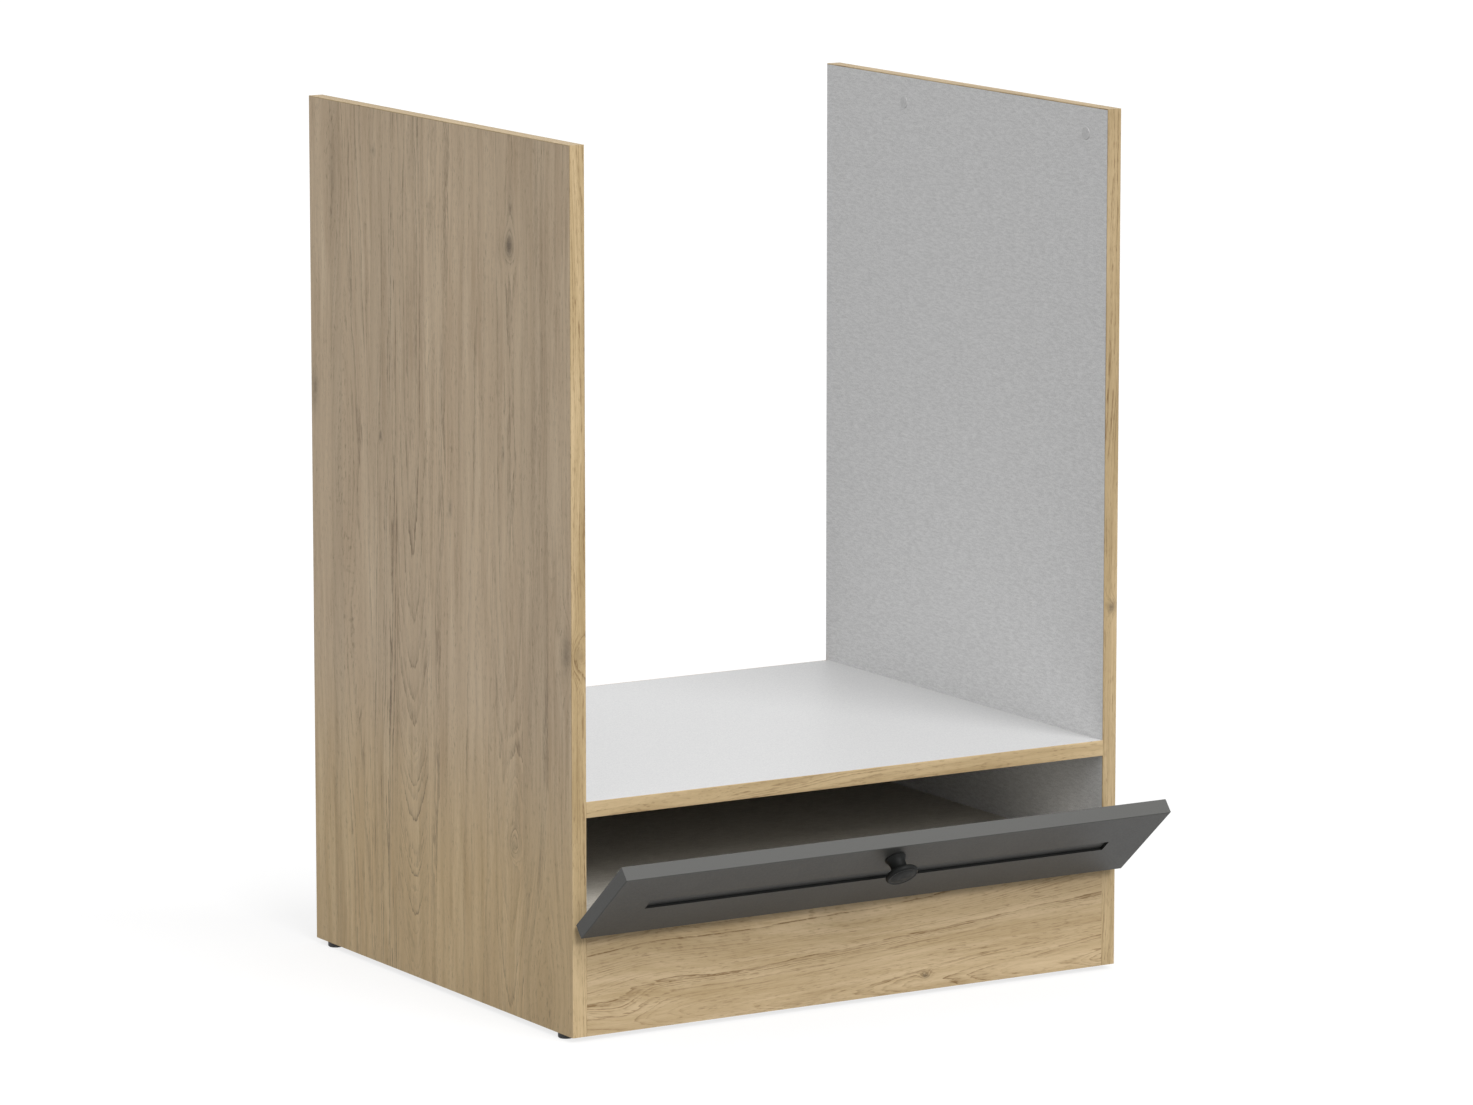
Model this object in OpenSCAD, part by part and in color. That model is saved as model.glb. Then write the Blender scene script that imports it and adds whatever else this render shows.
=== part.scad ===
// Oven housing unit of base height: two side panels on glides, a shelf that carries a
// built-under oven, and a low storage bay behind a framed flap that drops open.
//
// All lengths are in millimetres. X runs across the unit, Y from front to back, Z up.
// The modules are written from the floor (Z = 0), the middle of the width (X = 0) and
// the plane of the panels' front edges (Y = 0). in_room() then moves each piece so that
// the origin lies on the floor under the middle of the outline with the flap open.

/* [Cabinet] */
// Width over the two side panels
cabinet_w = 600; // [450:1:900]
// Depth of a side panel with its front edge band
side_d = 500; // [440:1:600]
// Thickness of the chipboard panels
board_t = 15; // [15:0.5:19]
// Height of the plinth panel
plinth_h = 100; // [90:1:150]
// Clear height of the storage bay
bay_h = 90; // [80:1:250]
// Height of the niche above the oven shelf
niche_h = 605; // [560:1:700]

/* [Edge bands] */
// Thickness of an edge band
band_t = 1; // [0.8:0.1:2]
// Radius along the two outer edges of a band
band_ease = 0.4; // [0.1:0.1:0.6]

/* [Back panel] */
// Thickness of the panel that closes the bay behind
back_t = 3; // [2.5:0.5:5]
// Distance from its rear face to the plane of the sides' rear edges
back_inset = 1; // [1:0.5:10]
// Gap left round the panel
back_gap = 0.5; // [0:0.1:2]

/* [Nails] */
// Diameter of a nail
nail_d = 1.6; // [1.2:0.1:2]
// Length of a nail under its head
nail_l = 16; // [12:1:25]
// Diameter of a nail's head
nail_head_d = 4; // [3:0.5:6]
// Thickness of a nail's head
nail_head_t = 0.7; // [0.5:0.1:1]
// Largest distance between two nails
nail_pitch = 110; // [60:5:150]
// Distance from the panel's end to its first nail
nail_end = 12; // [8:1:25]

/* [Glides] */
// Diameter of a glide
glide_d = 15; // [10:0.5:15]
// Height that the glides lift the panels
glide_h = 5; // [3:0.5:10]
// Diameter of a glide's pin
glide_pin_d = 5; // [4:0.5:6]
// Length of a glide's pin
glide_pin_l = 12; // [8:1:20]
// Distance from the front edge to the middle of a front glide
glide_from_front = 26; // [20:1:80]
// Distance from the rear edge to the middle of a rear glide
glide_from_rear = 25; // [15:1:80]

/* [Cover caps] */
// Diameter of a cover cap
cap_d = 12.5; // [10:0.5:15]
// Height of a cap over the panel
cap_rise = 1; // [0.5:0.1:2]
// Diameter of a cap's stem
cap_stem_d = 8; // [5:0.5:9]
// Length of a cap's stem
cap_stem_l = 9; // [5:1:12]
// Distance from the top edge of a side down to the caps
cap_drop = 26; // [15:1:60]
// Distance from the front edge to the first cap
cap_from_front = 37; // [20:1:80]
// Distance between the two caps of a side
cap_pitch = 320; // [224:32:352]

/* [Cam fittings] */
// Diameter of a cam housing
cam_d = 15; // [12:0.5:18]
// Depth of a cam housing
cam_h = 12.5; // [11:0.5:13]
// Distance from the end of a panel to the middle of its cams
cam_reach = 34; // [24:1:50]
// Wall between a cam's rim and the hollow for the bolt's head
cam_wall = 2; // [1.5:0.1:2.5]
// Thread diameter of a cam bolt
bolt_thread_d = 5; // [4:0.5:7]
// Thread length in the side panel
bolt_thread_l = 11; // [8:0.5:12]
// Diameter of a cam bolt's rod
bolt_rod_d = 6; // [5:0.5:7]
// Diameter of the neck behind the bolt's head
bolt_neck_d = 3.5; // [3:0.1:4]
// Diameter of the bolt's head
bolt_head_d = 5.5; // [5:0.1:6]
// Distance from the front and rear edges of a panel to its cam bolts
bolt_inset = 60; // [40:1:100]
// Height of the plinth's cam bolts over its lower edge
plinth_bolt_up = 68; // [56:1:76]

/* [Dowels] */
// Diameter of a dowel
dowel_d = 8; // [6:1:10]
// Length of a dowel
dowel_l = 35; // [30:1:40]
// Length of a dowel inside the side panel
dowel_in_side = 12; // [8:1:13]
// Distance from a cam bolt to the dowel beside it
dowel_step = 32; // [24:1:40]

/* [Flap] */
// Angle at which the flap stands open
flap_open = 50; // [0:1:100]
// Thickness of the flap
flap_t = 15; // [15:0.5:18]
// How far each end of the flap stays inside the outer faces of the sides
flap_end_gap = 1.5; // [1:0.5:4]
// How far the flap's top edge stays below the shelf's top face
flap_top_gap = 3; // [1:0.5:6]
// Gap between the closed flap and the carcass
flap_back_gap = 2; // [1.5:0.1:3]
// Width of the flap's frame members
frame_w = 46.5; // [30:0.5:50]
// Radius along the outer edges of the frame
frame_ease = 1; // [0.5:0.1:2]
// Thickness of the flap's centre panel
panel_t = 8; // [6:0.5:9]
// How far the centre panel stands back from the frame's face
panel_set_back = 3; // [2:0.5:4]
// Depth of the groove that holds the centre panel
groove_depth = 8; // [5:0.5:10]
// Diameter of the dowels across the mitres
mitre_dowel_d = 6; // [4:0.5:6]
// Length of the dowels across the mitres
mitre_dowel_l = 28; // [20:1:34]

/* [Hinges] */
// Length of a hinge
hinge_l = 50; // [40:1:70]
// Number of knuckles in a hinge
hinge_knuckles = 5; // [3:2:7]
// Distance from the end of the flap to the middle of a hinge
hinge_from_end = 80; // [75:1:120]
// Height of the hinge axis over the floor panel's underside
axis_up = 6.5; // [4:0.1:7]
// Thickness of a hinge leaf
leaf_t = 1; // [0.8:0.1:1]
// Diameter of the hinge barrel
barrel_d = 4.2; // [4:0.1:4.4]
// Diameter of the hinge pin
hinge_pin_d = 1.8; // [1.4:0.1:2]
// Width of the leaf on the carcass, from the axis
carcass_leaf_w = 7.5; // [6.5:0.5:8]
// Width of the leaf on the flap, from the axis
flap_leaf_w = 15; // [12:0.5:20]
// Gap between two knuckles
knuckle_gap = 0.3; // [0.2:0.05:0.5]
// Gap between the barrel and what turns past it
barrel_gap = 0.4; // [0.3:0.1:0.6]
// Distance between the two screws of a leaf
hinge_screw_pitch = 30; // [20:1:32]
// Diameter of a hinge screw
hinge_screw_d = 2.5; // [2:0.1:3]
// Diameter of a hinge screw's head
hinge_screw_head_d = 4.6; // [4:0.1:5]
// Length of a hinge screw
hinge_screw_l = 12; // [8:0.5:13]

/* [Knob] */
// How far the knob stands out of the flap
knob_l = 22; // [18:0.5:35]
// Diameter of the knob's head
knob_head_d = 31.5; // [24:0.5:40]
// Thickness of the knob's head at its edge
knob_head_t = 6; // [5:0.5:8]
// Radius round the edge of the head
knob_edge = 2.5; // [1:0.1:2.5]
// Height of the dome on the head
knob_dome = 1.2; // [0.5:0.1:3]
// Diameter of the knob's neck
knob_neck_d = 13; // [10:0.5:16]
// Diameter of the knob's base
knob_base_d = 20.5; // [18:0.5:24]
// Thickness of the knob's base
knob_base_t = 2.5; // [1.5:0.5:4]
// Distance from the flap's top edge to the middle of the knob
knob_from_top = 22; // [18:0.5:28]
// Thread diameter of the knob's screw
knob_screw_d = 4; // [3:0.5:5]
// Length of the knob's screw inside the knob
knob_screw_in = 9; // [6:1:12]
// Diameter of the screw's head
knob_screw_head_d = 8; // [7:0.5:10]
// Height of the screw's head
knob_screw_head_h = 2.4; // [2:0.1:3]

/* [Buffers] */
// Diameter of a buffer
buffer_d = 8; // [6:0.5:10]
// Distance from the flap's top edge to the middle of a buffer
buffer_drop = 12; // [8:1:20]
// Gap between a buffer and the carcass when the flap is shut
buffer_gap = 0.3; // [0.2:0.1:0.6]

/* [Fits] */
// Clearance round a fastener in its hole, on the radius
fit_gap = 0.05; // [0.02:0.01:0.1]
// Clearance at the blind end of a hole
end_gap = 0.5; // [0.3:0.1:1]
// Running clearance round the hinge pin, on the radius
pin_gap = 0.05; // [0.02:0.01:0.1]

/* [Hidden] */
$fn = 48;

oak = "#b89f74";
white = "#e4e4e2";
hardboard = "#d8d6d0";
graphite = "#4f504d";
black = "#2c2c2d";
cap_grey = "#a9a9a9";
steel = "#b9bbbd";
zinc = "#a7a9ab";
beech = "#cfae7c";

left = -1;
right = 1;
past = 1; // how far a cutter runs past the face that it opens

// Heights over the floor
floor_z = glide_h + plinth_h;
shelf_z = floor_z + board_t + bay_h;
shelf_top = shelf_z + board_t;
side_top = shelf_top + niche_h;
side_h = side_top - glide_h;

// Boards between the sides
inner_w = cabinet_w - 2 * board_t;
rear_of_boards = side_d - back_inset - back_t;
ledge_bolts = [bolt_inset, rear_of_boards - bolt_inset];
ledge_dowels = [bolt_inset + dowel_step, rear_of_boards - bolt_inset - dowel_step];
plinth_bolts = [plinth_bolt_up];
plinth_dowels_up = [plinth_bolt_up - dowel_step];

// The flap's own frame has its origin on the hinge axis, in the middle of the width,
// and its front face looks along -Y while the flap is shut.
axis_z = floor_z + axis_up;
barrel_r = barrel_d / 2;
flap_back = -flap_back_gap / 2;
flap_front = flap_back - flap_t;
flap_foot = barrel_r + barrel_gap;
flap_head = shelf_top - flap_top_gap - axis_z;
flap_h = flap_head - flap_foot;
flap_w = cabinet_w - 2 * flap_end_gap;
hinge_x = flap_w / 2 - hinge_from_end;
knob_z = flap_head - knob_from_top;
buffer_x = (cabinet_w - board_t) / 2;

// Heights of the leaf screws over the axis: the middle of the flat part of each leaf
carcass_screw_up = (barrel_r + carcass_leaf_w) / 2;
flap_screw_up = (barrel_r + flap_leaf_w) / 2;

// Foremost point of the open flap: its top edge, or the edge or the dome of the knob
function reach(out, up) = -flap_back + out * cos(flap_open) + up * sin(flap_open);
knob_edge_out = -flap_front + knob_l - knob_dome - knob_edge;
front_reach = max(
    reach(-flap_front, flap_head),
    reach(knob_edge_out, knob_z + knob_head_d / 2 - knob_edge) + knob_edge,
    reach(-flap_front + knob_l, knob_z)
);
origin_y = (side_d - front_reach) / 2;

// ---------------------------------------------------------------- places

module in_room() translate([0, -origin_y, 0]) children();

module on_flap() in_room()
    translate([0, flap_back, axis_z]) rotate([flap_open, 0, 0]) children();

// A board's own frame: X along it, Y across it, and Z = 0 on the face with its cams
module on_shelf() translate([0, 0, shelf_z]) children();
module on_floor() translate([0, 0, floor_z]) children();
module on_plinth() translate([0, board_t, glide_h]) rotate([90, 0, 0]) children();

// The end of a board against one side: Z points along the board, away from the side
module at_end(hand, y)
    translate([hand * inner_w / 2, y, board_t / 2]) rotate([0, -90 * hand, 0]) children();

// The middle of a hinge's length
module at_hinge(hand) translate([hand * hinge_x, 0, 0]) children();

// ---------------------------------------------------------------- shared forms

// Cross-section of an edge band: flat side on X = 0, outer corners rounded
module band_section(width) {
    square([band_t - band_ease, width]);
    translate([0, band_ease]) square([band_t, width - 2 * band_ease]);
    for (y = [band_ease, width - band_ease]) translate([band_t - band_ease, y]) circle(band_ease);
}

// Band on a front edge, running along X from the middle, with its outer side on Y = 0
module front_band(length, width)
    translate([-length / 2, band_t, 0]) rotate([90, 0, 90]) linear_extrude(length)
        mirror([1, 0]) band_section(width);

// Screw with its countersunk head's face on Z = 0 and its point at Z = -length
module countersunk_screw(d, head_d, length, grow = 0) {
    head_h = (head_d - d) / 2;
    translate([0, 0, -head_h]) cylinder(h = head_h, r1 = d / 2 + grow, r2 = head_d / 2 + grow);
    translate([0, 0, d - length]) cylinder(h = length - head_h - d + grow, r = d / 2 + grow);
    translate([0, 0, -length]) cylinder(h = d, r1 = grow, r2 = d / 2 + grow);
}

// Recess for a cross-head driver, cut from Z = 0 downwards
module cross_slot(across, depth) for (turn = [0, 90]) rotate([0, 0, turn]) {
    slot_w = across / 5;
    translate([-across / 2, -slot_w / 2, -depth]) cube([across, slot_w, depth + past]);
}

// ---------------------------------------------------------------- cam and dowel joints

module side_bores(bolts, dowels) for (hand = [left, right]) {
    for (y = bolts) at_end(hand, y) translate([0, 0, -bolt_thread_l - end_gap])
        cylinder(h = bolt_thread_l + end_gap + past, r = bolt_thread_d / 2 + fit_gap);
    for (y = dowels) at_end(hand, y) translate([0, 0, -dowel_in_side - end_gap])
        cylinder(h = dowel_in_side + end_gap + past, r = dowel_d / 2 + fit_gap);
}

module end_bores(bolts, dowels) for (hand = [left, right]) {
    for (y = bolts) {
        at_end(hand, y) translate([0, 0, -past])
            cylinder(h = cam_reach + past, r = bolt_rod_d / 2 + fit_gap);
        translate([hand * (inner_w / 2 - cam_reach), y, -past])
            cylinder(h = cam_h + past, r = cam_d / 2 + fit_gap);
    }
    for (y = dowels) at_end(hand, y) translate([0, 0, -past])
        cylinder(h = dowel_l - dowel_in_side + end_gap + past, r = dowel_d / 2 + fit_gap);
}

// One cam, with the slot for the bolt on its +X side and its driver's slot below
module cam() {
    hollow_r = cam_d / 2 - cam_wall;
    driver_slot_h = cam_h / 6;
    difference() {
        cylinder(h = cam_h - fit_gap, r = cam_d / 2);
        translate([0, 0, board_t / 2]) {
            intersection() {
                cylinder(h = bolt_head_d + 2 * end_gap, r = hollow_r, center = true);
                translate([-bolt_head_d / 2, -hollow_r, -bolt_head_d])
                    cube([cam_d, 2 * hollow_r, 2 * bolt_head_d]);
            }
            translate([0, -bolt_neck_d / 2 - end_gap, -bolt_neck_d / 2 - end_gap])
                cube([cam_d, bolt_neck_d + 2 * end_gap, bolt_neck_d + 2 * end_gap]);
        }
        mirror([0, 0, 1]) cross_slot(hollow_r, driver_slot_h);
    }
}

module cams(bolts) color(zinc) for (hand = [left, right], y = bolts)
    translate([hand * (inner_w / 2 - cam_reach), y, 0]) mirror([hand == left ? 1 : 0, 0, 0]) cam();

// One cam bolt along Z: thread below Z = 0, then rod, neck and round head
module cam_bolt() {
    rod_l = cam_reach - cam_d / 2 - end_gap;
    head_at = cam_reach - cam_d / 2 + cam_wall + bolt_head_d / 2 + fit_gap;
    translate([0, 0, -bolt_thread_l]) cylinder(h = bolt_thread_l, r = bolt_thread_d / 2);
    cylinder(h = rod_l, r = bolt_rod_d / 2);
    cylinder(h = head_at, r = bolt_neck_d / 2);
    translate([0, 0, head_at]) sphere(bolt_head_d / 2);
}

module cam_bolts(bolts) color(steel) for (hand = [left, right], y = bolts)
    at_end(hand, y) cam_bolt();

// Dowels with chamfered ends
module dowels(places) color(beech) for (hand = [left, right], y = places)
    at_end(hand, y) translate([0, 0, -dowel_in_side]) {
        chamfer = dowel_d / 8;
        cylinder(h = chamfer, r1 = dowel_d / 2 - chamfer, r2 = dowel_d / 2);
        translate([0, 0, chamfer]) cylinder(h = dowel_l - 2 * chamfer, r = dowel_d / 2);
        translate([0, 0, dowel_l - chamfer])
            cylinder(h = chamfer, r1 = dowel_d / 2, r2 = dowel_d / 2 - chamfer);
    }

// ---------------------------------------------------------------- side panels

module glide_places(hand) for (y = [glide_from_front, side_d - glide_from_rear])
    translate([hand * (cabinet_w - board_t) / 2, y, glide_h]) children();

// Z points out of the inner face of the side, towards the middle of the unit
module cap_places(hand) for (y = [cap_from_front, cap_from_front + cap_pitch])
    translate([hand * inner_w / 2, y, side_top - cap_drop]) rotate([0, -90 * hand, 0]) children();

module side_panel(hand) color(oak) in_room() difference() {
    translate([hand == left ? -cabinet_w / 2 : inner_w / 2, band_t, glide_h])
        cube([board_t, side_d - band_t, side_h - band_t]);
    on_shelf() side_bores(ledge_bolts, ledge_dowels);
    on_floor() side_bores(ledge_bolts, ledge_dowels);
    on_plinth() side_bores(plinth_bolts, plinth_dowels_up);
    glide_places(hand) translate([0, 0, -past])
        cylinder(h = glide_pin_l + end_gap + past, r = glide_pin_d / 2 + fit_gap);
    cap_places(hand) translate([0, 0, -cap_stem_l - end_gap])
        cylinder(h = cap_stem_l + end_gap + past, r = cap_stem_d / 2 + fit_gap);
}

// Stands up the full height of the panel, so that it also covers the top band's end
module side_front_band(hand) color(oak) in_room()
    translate([hand * (cabinet_w - board_t) / 2, band_t, glide_h])
        rotate([0, 0, -90]) linear_extrude(side_h) translate([0, -board_t / 2]) band_section(board_t);

module side_top_band(hand) color(oak) in_room()
    translate([hand * (cabinet_w - board_t) / 2 - board_t / 2, band_t, side_top - band_t])
        rotate([-90, -90, 0]) linear_extrude(side_d - band_t) band_section(board_t);

module glide(hand, row) color(black) in_room() {
    y = row == "front" ? glide_from_front : side_d - glide_from_rear;
    rim = glide_h / 5;
    translate([hand * (cabinet_w - board_t) / 2, y, 0]) {
        cylinder(h = rim, r1 = glide_d / 2 - rim, r2 = glide_d / 2);
        translate([0, 0, rim]) cylinder(h = glide_h - rim, r = glide_d / 2);
        translate([0, 0, glide_h]) cylinder(h = glide_pin_l, r = glide_pin_d / 2);
    }
}

module cover_caps(hand) color(cap_grey) in_room() cap_places(hand) {
    rim = cap_rise / 2;
    translate([0, 0, -cap_stem_l]) cylinder(h = cap_stem_l, r = cap_stem_d / 2);
    cylinder(h = rim, r = cap_d / 2);
    translate([0, 0, rim]) cylinder(h = cap_rise - rim, r1 = cap_d / 2, r2 = cap_d / 2 - rim);
}

// ---------------------------------------------------------------- boards between the sides

module ledge_board() translate([-inner_w / 2, band_t, 0])
    cube([inner_w, rear_of_boards - band_t, board_t]);

module oven_shelf() color(white) in_room() on_shelf() difference() {
    ledge_board();
    end_bores(ledge_bolts, ledge_dowels);
    nail_bores();
}

module shelf_edge_band() color(oak) in_room() on_shelf() front_band(inner_w, board_t);

// Recess for the carcass leaf of each hinge, with room for its barrel to turn
module carcass_hinge_recess() for (hand = [left, right]) at_hinge(hand) {
    translate([-hinge_l / 2 - fit_gap, -past, axis_up])
        cube([hinge_l + 2 * fit_gap, leaf_t + fit_gap + past, carcass_leaf_w + fit_gap]);
    room = barrel_r + barrel_gap;
    length = hinge_l + 2 * end_gap + 2 * leaf_t;
    translate([-length / 2, -past, axis_up - room])
        cube([length, room + flap_back + past, 2 * room]);
    leaf_screw_places(carcass_screw_up) translate([0, 0, axis_up])
        rotate([90, 0, 0]) hinge_screw(fit_gap);
}

module floor_panel() color(white) in_room() on_floor() difference() {
    ledge_board();
    end_bores(ledge_bolts, ledge_dowels);
    nail_bores();
    carcass_hinge_recess();
}

module floor_edge_band() color(white) in_room() on_floor() difference() {
    front_band(inner_w, board_t);
    carcass_hinge_recess();
}

module plinth_panel() color(oak) in_room() on_plinth() difference() {
    translate([-inner_w / 2, 0, 0]) cube([inner_w, plinth_h, board_t]);
    end_bores(plinth_bolts, plinth_dowels_up);
}

// ---------------------------------------------------------------- back panel

back_w = inner_w - 2 * back_gap;
back_z = floor_z + back_gap;
back_h = shelf_top - floor_z - 2 * back_gap;
nails_per_row = ceil((back_w - 2 * nail_end) / nail_pitch) + 1;

// One row of nails in a board's own frame: Z points backwards, out of the back panel
module nail_row() {
    step = (back_w - 2 * nail_end) / (nails_per_row - 1);
    for (i = [0 : nails_per_row - 1])
        translate([-back_w / 2 + nail_end + i * step, rear_of_boards + back_t, board_t / 2])
            rotate([-90, 0, 0]) children();
}

module nail_bores() nail_row() translate([0, 0, -nail_l - fit_gap])
    cylinder(h = nail_l + fit_gap + past, r = nail_d / 2 + fit_gap);

module back_panel() color(hardboard) in_room() difference() {
    translate([-back_w / 2, rear_of_boards, back_z]) cube([back_w, back_t, back_h]);
    on_shelf() nail_bores();
    on_floor() nail_bores();
}

module nails() nail_row() {
    cylinder(h = nail_head_t, r = nail_head_d / 2);
    translate([0, 0, nail_d - nail_l]) cylinder(h = nail_l - nail_d, r = nail_d / 2);
    translate([0, 0, -nail_l]) cylinder(h = nail_d, r1 = 0, r2 = nail_d / 2);
}

module back_panel_nails() color(steel) in_room() {
    on_shelf() nails();
    on_floor() nails();
}

// ---------------------------------------------------------------- hinges

// A leaf's frame: X along the axis, the plate upright behind the barrel's middle.
// The screws enter the leaf's free face, which lies half the flap's gap from the axis.
module leaf_screw_places(up) for (end = [-1, 1])
    translate([end * hinge_screw_pitch / 2, 0, up]) children();

module hinge_screw(grow = 0) countersunk_screw(hinge_screw_d, hinge_screw_head_d, hinge_screw_l, grow);

knuckle_pitch = hinge_l / hinge_knuckles;

// Cylinders on the knuckles of one parity, each as long as its pitch less the gap
module knuckles(odd, r, gap) for (i = [0 : hinge_knuckles - 1]) if (i % 2 == odd)
    translate([-hinge_l / 2 + i * knuckle_pitch + gap / 2, 0, 0])
        rotate([0, 90, 0]) cylinder(h = knuckle_pitch - gap, r = r);

module hinge_leaf(leaf_w, screw_up, odd) color(steel) difference() {
    union() {
        translate([-hinge_l / 2, -flap_back, 0]) cube([hinge_l, leaf_t, leaf_w]);
        knuckles(odd, barrel_r, knuckle_gap);
    }
    knuckles(1 - odd, barrel_r + barrel_gap, 0);
    rotate([0, 90, 0]) cylinder(h = hinge_l + 2 * past, r = hinge_pin_d / 2 + pin_gap, center = true);
    leaf_screw_places(screw_up) translate([0, -flap_back, 0])
        rotate([90, 0, 0]) hinge_screw(fit_gap);
}

// The carcass leaf stands upright whatever the flap does
module on_hinge_axis() in_room() translate([0, flap_back, axis_z]) children();

module carcass_leaf(hand) on_hinge_axis() at_hinge(hand)
    hinge_leaf(carcass_leaf_w, carcass_screw_up, 0);

module flap_leaf(hand) on_flap() at_hinge(hand)
    mirror([0, 1, 0]) hinge_leaf(flap_leaf_w, flap_screw_up, 1);

// The pin sits in the carcass leaf and has its head on the outer end
module hinge_pin(hand) color(steel) on_hinge_axis() at_hinge(hand) rotate([0, 90 * hand, 0]) {
    head_h = leaf_t - fit_gap;
    cylinder(h = hinge_l, r = hinge_pin_d / 2, center = true);
    translate([0, 0, hinge_l / 2 + fit_gap]) cylinder(h = head_h, r = hinge_pin_d / 2 + leaf_t / 2);
    translate([0, 0, hinge_l / 2 - past]) cylinder(h = past + fit_gap, r = hinge_pin_d / 2);
}

module driven_hinge_screw() difference() {
    hinge_screw();
    cross_slot(hinge_screw_head_d / 2, hinge_screw_d / 3);
}

module carcass_hinge_screws() color(zinc) on_hinge_axis() for (hand = [left, right])
    at_hinge(hand) leaf_screw_places(carcass_screw_up) translate([0, -flap_back, 0])
        rotate([90, 0, 0]) driven_hinge_screw();

module flap_hinge_screws() color(zinc) on_flap() for (hand = [left, right])
    at_hinge(hand) leaf_screw_places(flap_screw_up) translate([0, flap_back, 0])
        rotate([-90, 0, 0]) driven_hinge_screw();

// ---------------------------------------------------------------- flap

// A frame member along X: front face on Y = 0, outer edge on Z = 0, ends mitred
module frame_member(length) {
    difference() {
        intersection() {
            translate([-length / 2, 0, 0]) rotate([90, 0, 90]) linear_extrude(length) frame_section();
            translate([0, flap_t, 0]) rotate([90, 0, 0]) linear_extrude(flap_t) polygon([
                [-length / 2, 0], [length / 2, 0],
                [length / 2 - frame_w, frame_w], [-length / 2 + frame_w, frame_w]
            ]);
        }
        translate([-length / 2, panel_set_back - fit_gap, frame_w - groove_depth])
            cube([length, panel_t + 2 * fit_gap, groove_depth + past]);
        for (end = [-1, 1]) translate([end * (length - frame_w) / 2, flap_t / 2, frame_w / 2])
            rotate([0, end * 45, 0])
                cylinder(h = mitre_dowel_l + 2 * end_gap, r = mitre_dowel_d / 2 + fit_gap, center = true);
    }
}

// Cross-section of a member: depth along X, width along Y, both outer edges rounded
module frame_section() {
    translate([frame_ease, 0]) square([flap_t - 2 * frame_ease, frame_w]);
    translate([0, frame_ease]) square([flap_t, frame_w - frame_ease]);
    for (x = [frame_ease, flap_t - frame_ease]) translate([x, frame_ease]) circle(frame_ease);
}

module knob_place() translate([0, flap_front, knob_z]) rotate([90, 0, 0]) children();

module flap_top_rail() color(graphite) on_flap() difference() {
    translate([0, flap_front, flap_head]) mirror([0, 0, 1]) frame_member(flap_w);
    knob_place() translate([0, 0, -flap_t - past])
        cylinder(h = flap_t + 2 * past, r = knob_screw_d / 2 + fit_gap);
}

module flap_bottom_rail() color(graphite) on_flap() difference() {
    translate([0, flap_front, flap_foot]) frame_member(flap_w);
    for (hand = [left, right]) at_hinge(hand) {
        translate([-hinge_l / 2 - fit_gap, flap_back - leaf_t - fit_gap, 0])
            cube([hinge_l + 2 * fit_gap, leaf_t + fit_gap + past, flap_leaf_w + fit_gap]);
        leaf_screw_places(flap_screw_up) translate([0, flap_back, 0])
            rotate([-90, 0, 0]) hinge_screw(fit_gap);
    }
}

module flap_stile(hand) color(graphite) on_flap()
    mirror([hand == right ? 1 : 0, 0, 0])
        translate([-flap_w / 2, flap_front, flap_foot + flap_h / 2]) rotate([0, 90, 0]) frame_member(flap_h);

module flap_centre_panel() color(graphite) on_flap() {
    held = frame_w - groove_depth + end_gap;
    translate([-flap_w / 2 + held, flap_front + panel_set_back, flap_foot + held])
        cube([flap_w - 2 * held, panel_t, flap_h - 2 * held]);
}

module flap_mitre_dowels() color(beech) on_flap()
    for (side = [-1, 1], end = [-1, 1])
        translate([side * (flap_w - frame_w) / 2, flap_back - flap_t / 2,
                   flap_foot + flap_h / 2 + end * (flap_h - frame_w) / 2])
            rotate([0, -side * end * 45, 0]) cylinder(h = mitre_dowel_l, r = mitre_dowel_d / 2, center = true);

// Outline of the knob to the right of its axis, standing on its base
module knob_section() {
    head_r = knob_head_d / 2;
    neck_h = knob_l - knob_dome - knob_head_t - knob_base_t;
    cove = (knob_base_d - knob_neck_d) / 2;
    cove_r = (neck_h * neck_h / 4 + cove * cove) / (2 * cove);
    dome_r = (pow(head_r - knob_edge, 2) + pow(knob_dome, 2)) / (2 * knob_dome);
    square([knob_base_d / 2, knob_base_t]);
    difference() {
        square([knob_base_d / 2, knob_base_t + neck_h + past]);
        translate([knob_neck_d / 2 + cove_r, knob_base_t + neck_h / 2]) circle(cove_r);
    }
    translate([0, knob_base_t + neck_h]) {
        square([head_r - knob_edge, knob_head_t]);
        translate([0, knob_edge]) square([head_r, knob_head_t - 2 * knob_edge]);
        for (y = [knob_edge, knob_head_t - knob_edge]) translate([head_r - knob_edge, y]) circle(knob_edge);
        intersection() {
            translate([0, knob_head_t + knob_dome - dome_r]) circle(dome_r);
            translate([0, knob_head_t - past]) square([head_r - knob_edge, knob_dome + past]);
        }
    }
}

module knob() color(black) on_flap() knob_place() difference() {
    rotate_extrude() knob_section();
    translate([0, 0, -past])
        cylinder(h = knob_screw_in + end_gap + past, r = knob_screw_d / 2 + fit_gap);
}

module knob_screw() color(zinc) on_flap() knob_place() translate([0, 0, -flap_t]) difference() {
    union() {
        cylinder(h = flap_t + knob_screw_in, r = knob_screw_d / 2);
        translate([0, 0, -knob_screw_head_h / 2])
            cylinder(h = knob_screw_head_h / 2, r = knob_screw_head_d / 2);
        translate([0, 0, -knob_screw_head_h])
            cylinder(h = knob_screw_head_h / 2, r1 = knob_screw_head_d / 4, r2 = knob_screw_head_d / 2);
    }
    translate([0, 0, -knob_screw_head_h]) mirror([0, 0, 1])
        cross_slot(knob_screw_head_d / 2, knob_screw_head_h / 2);
}

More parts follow.
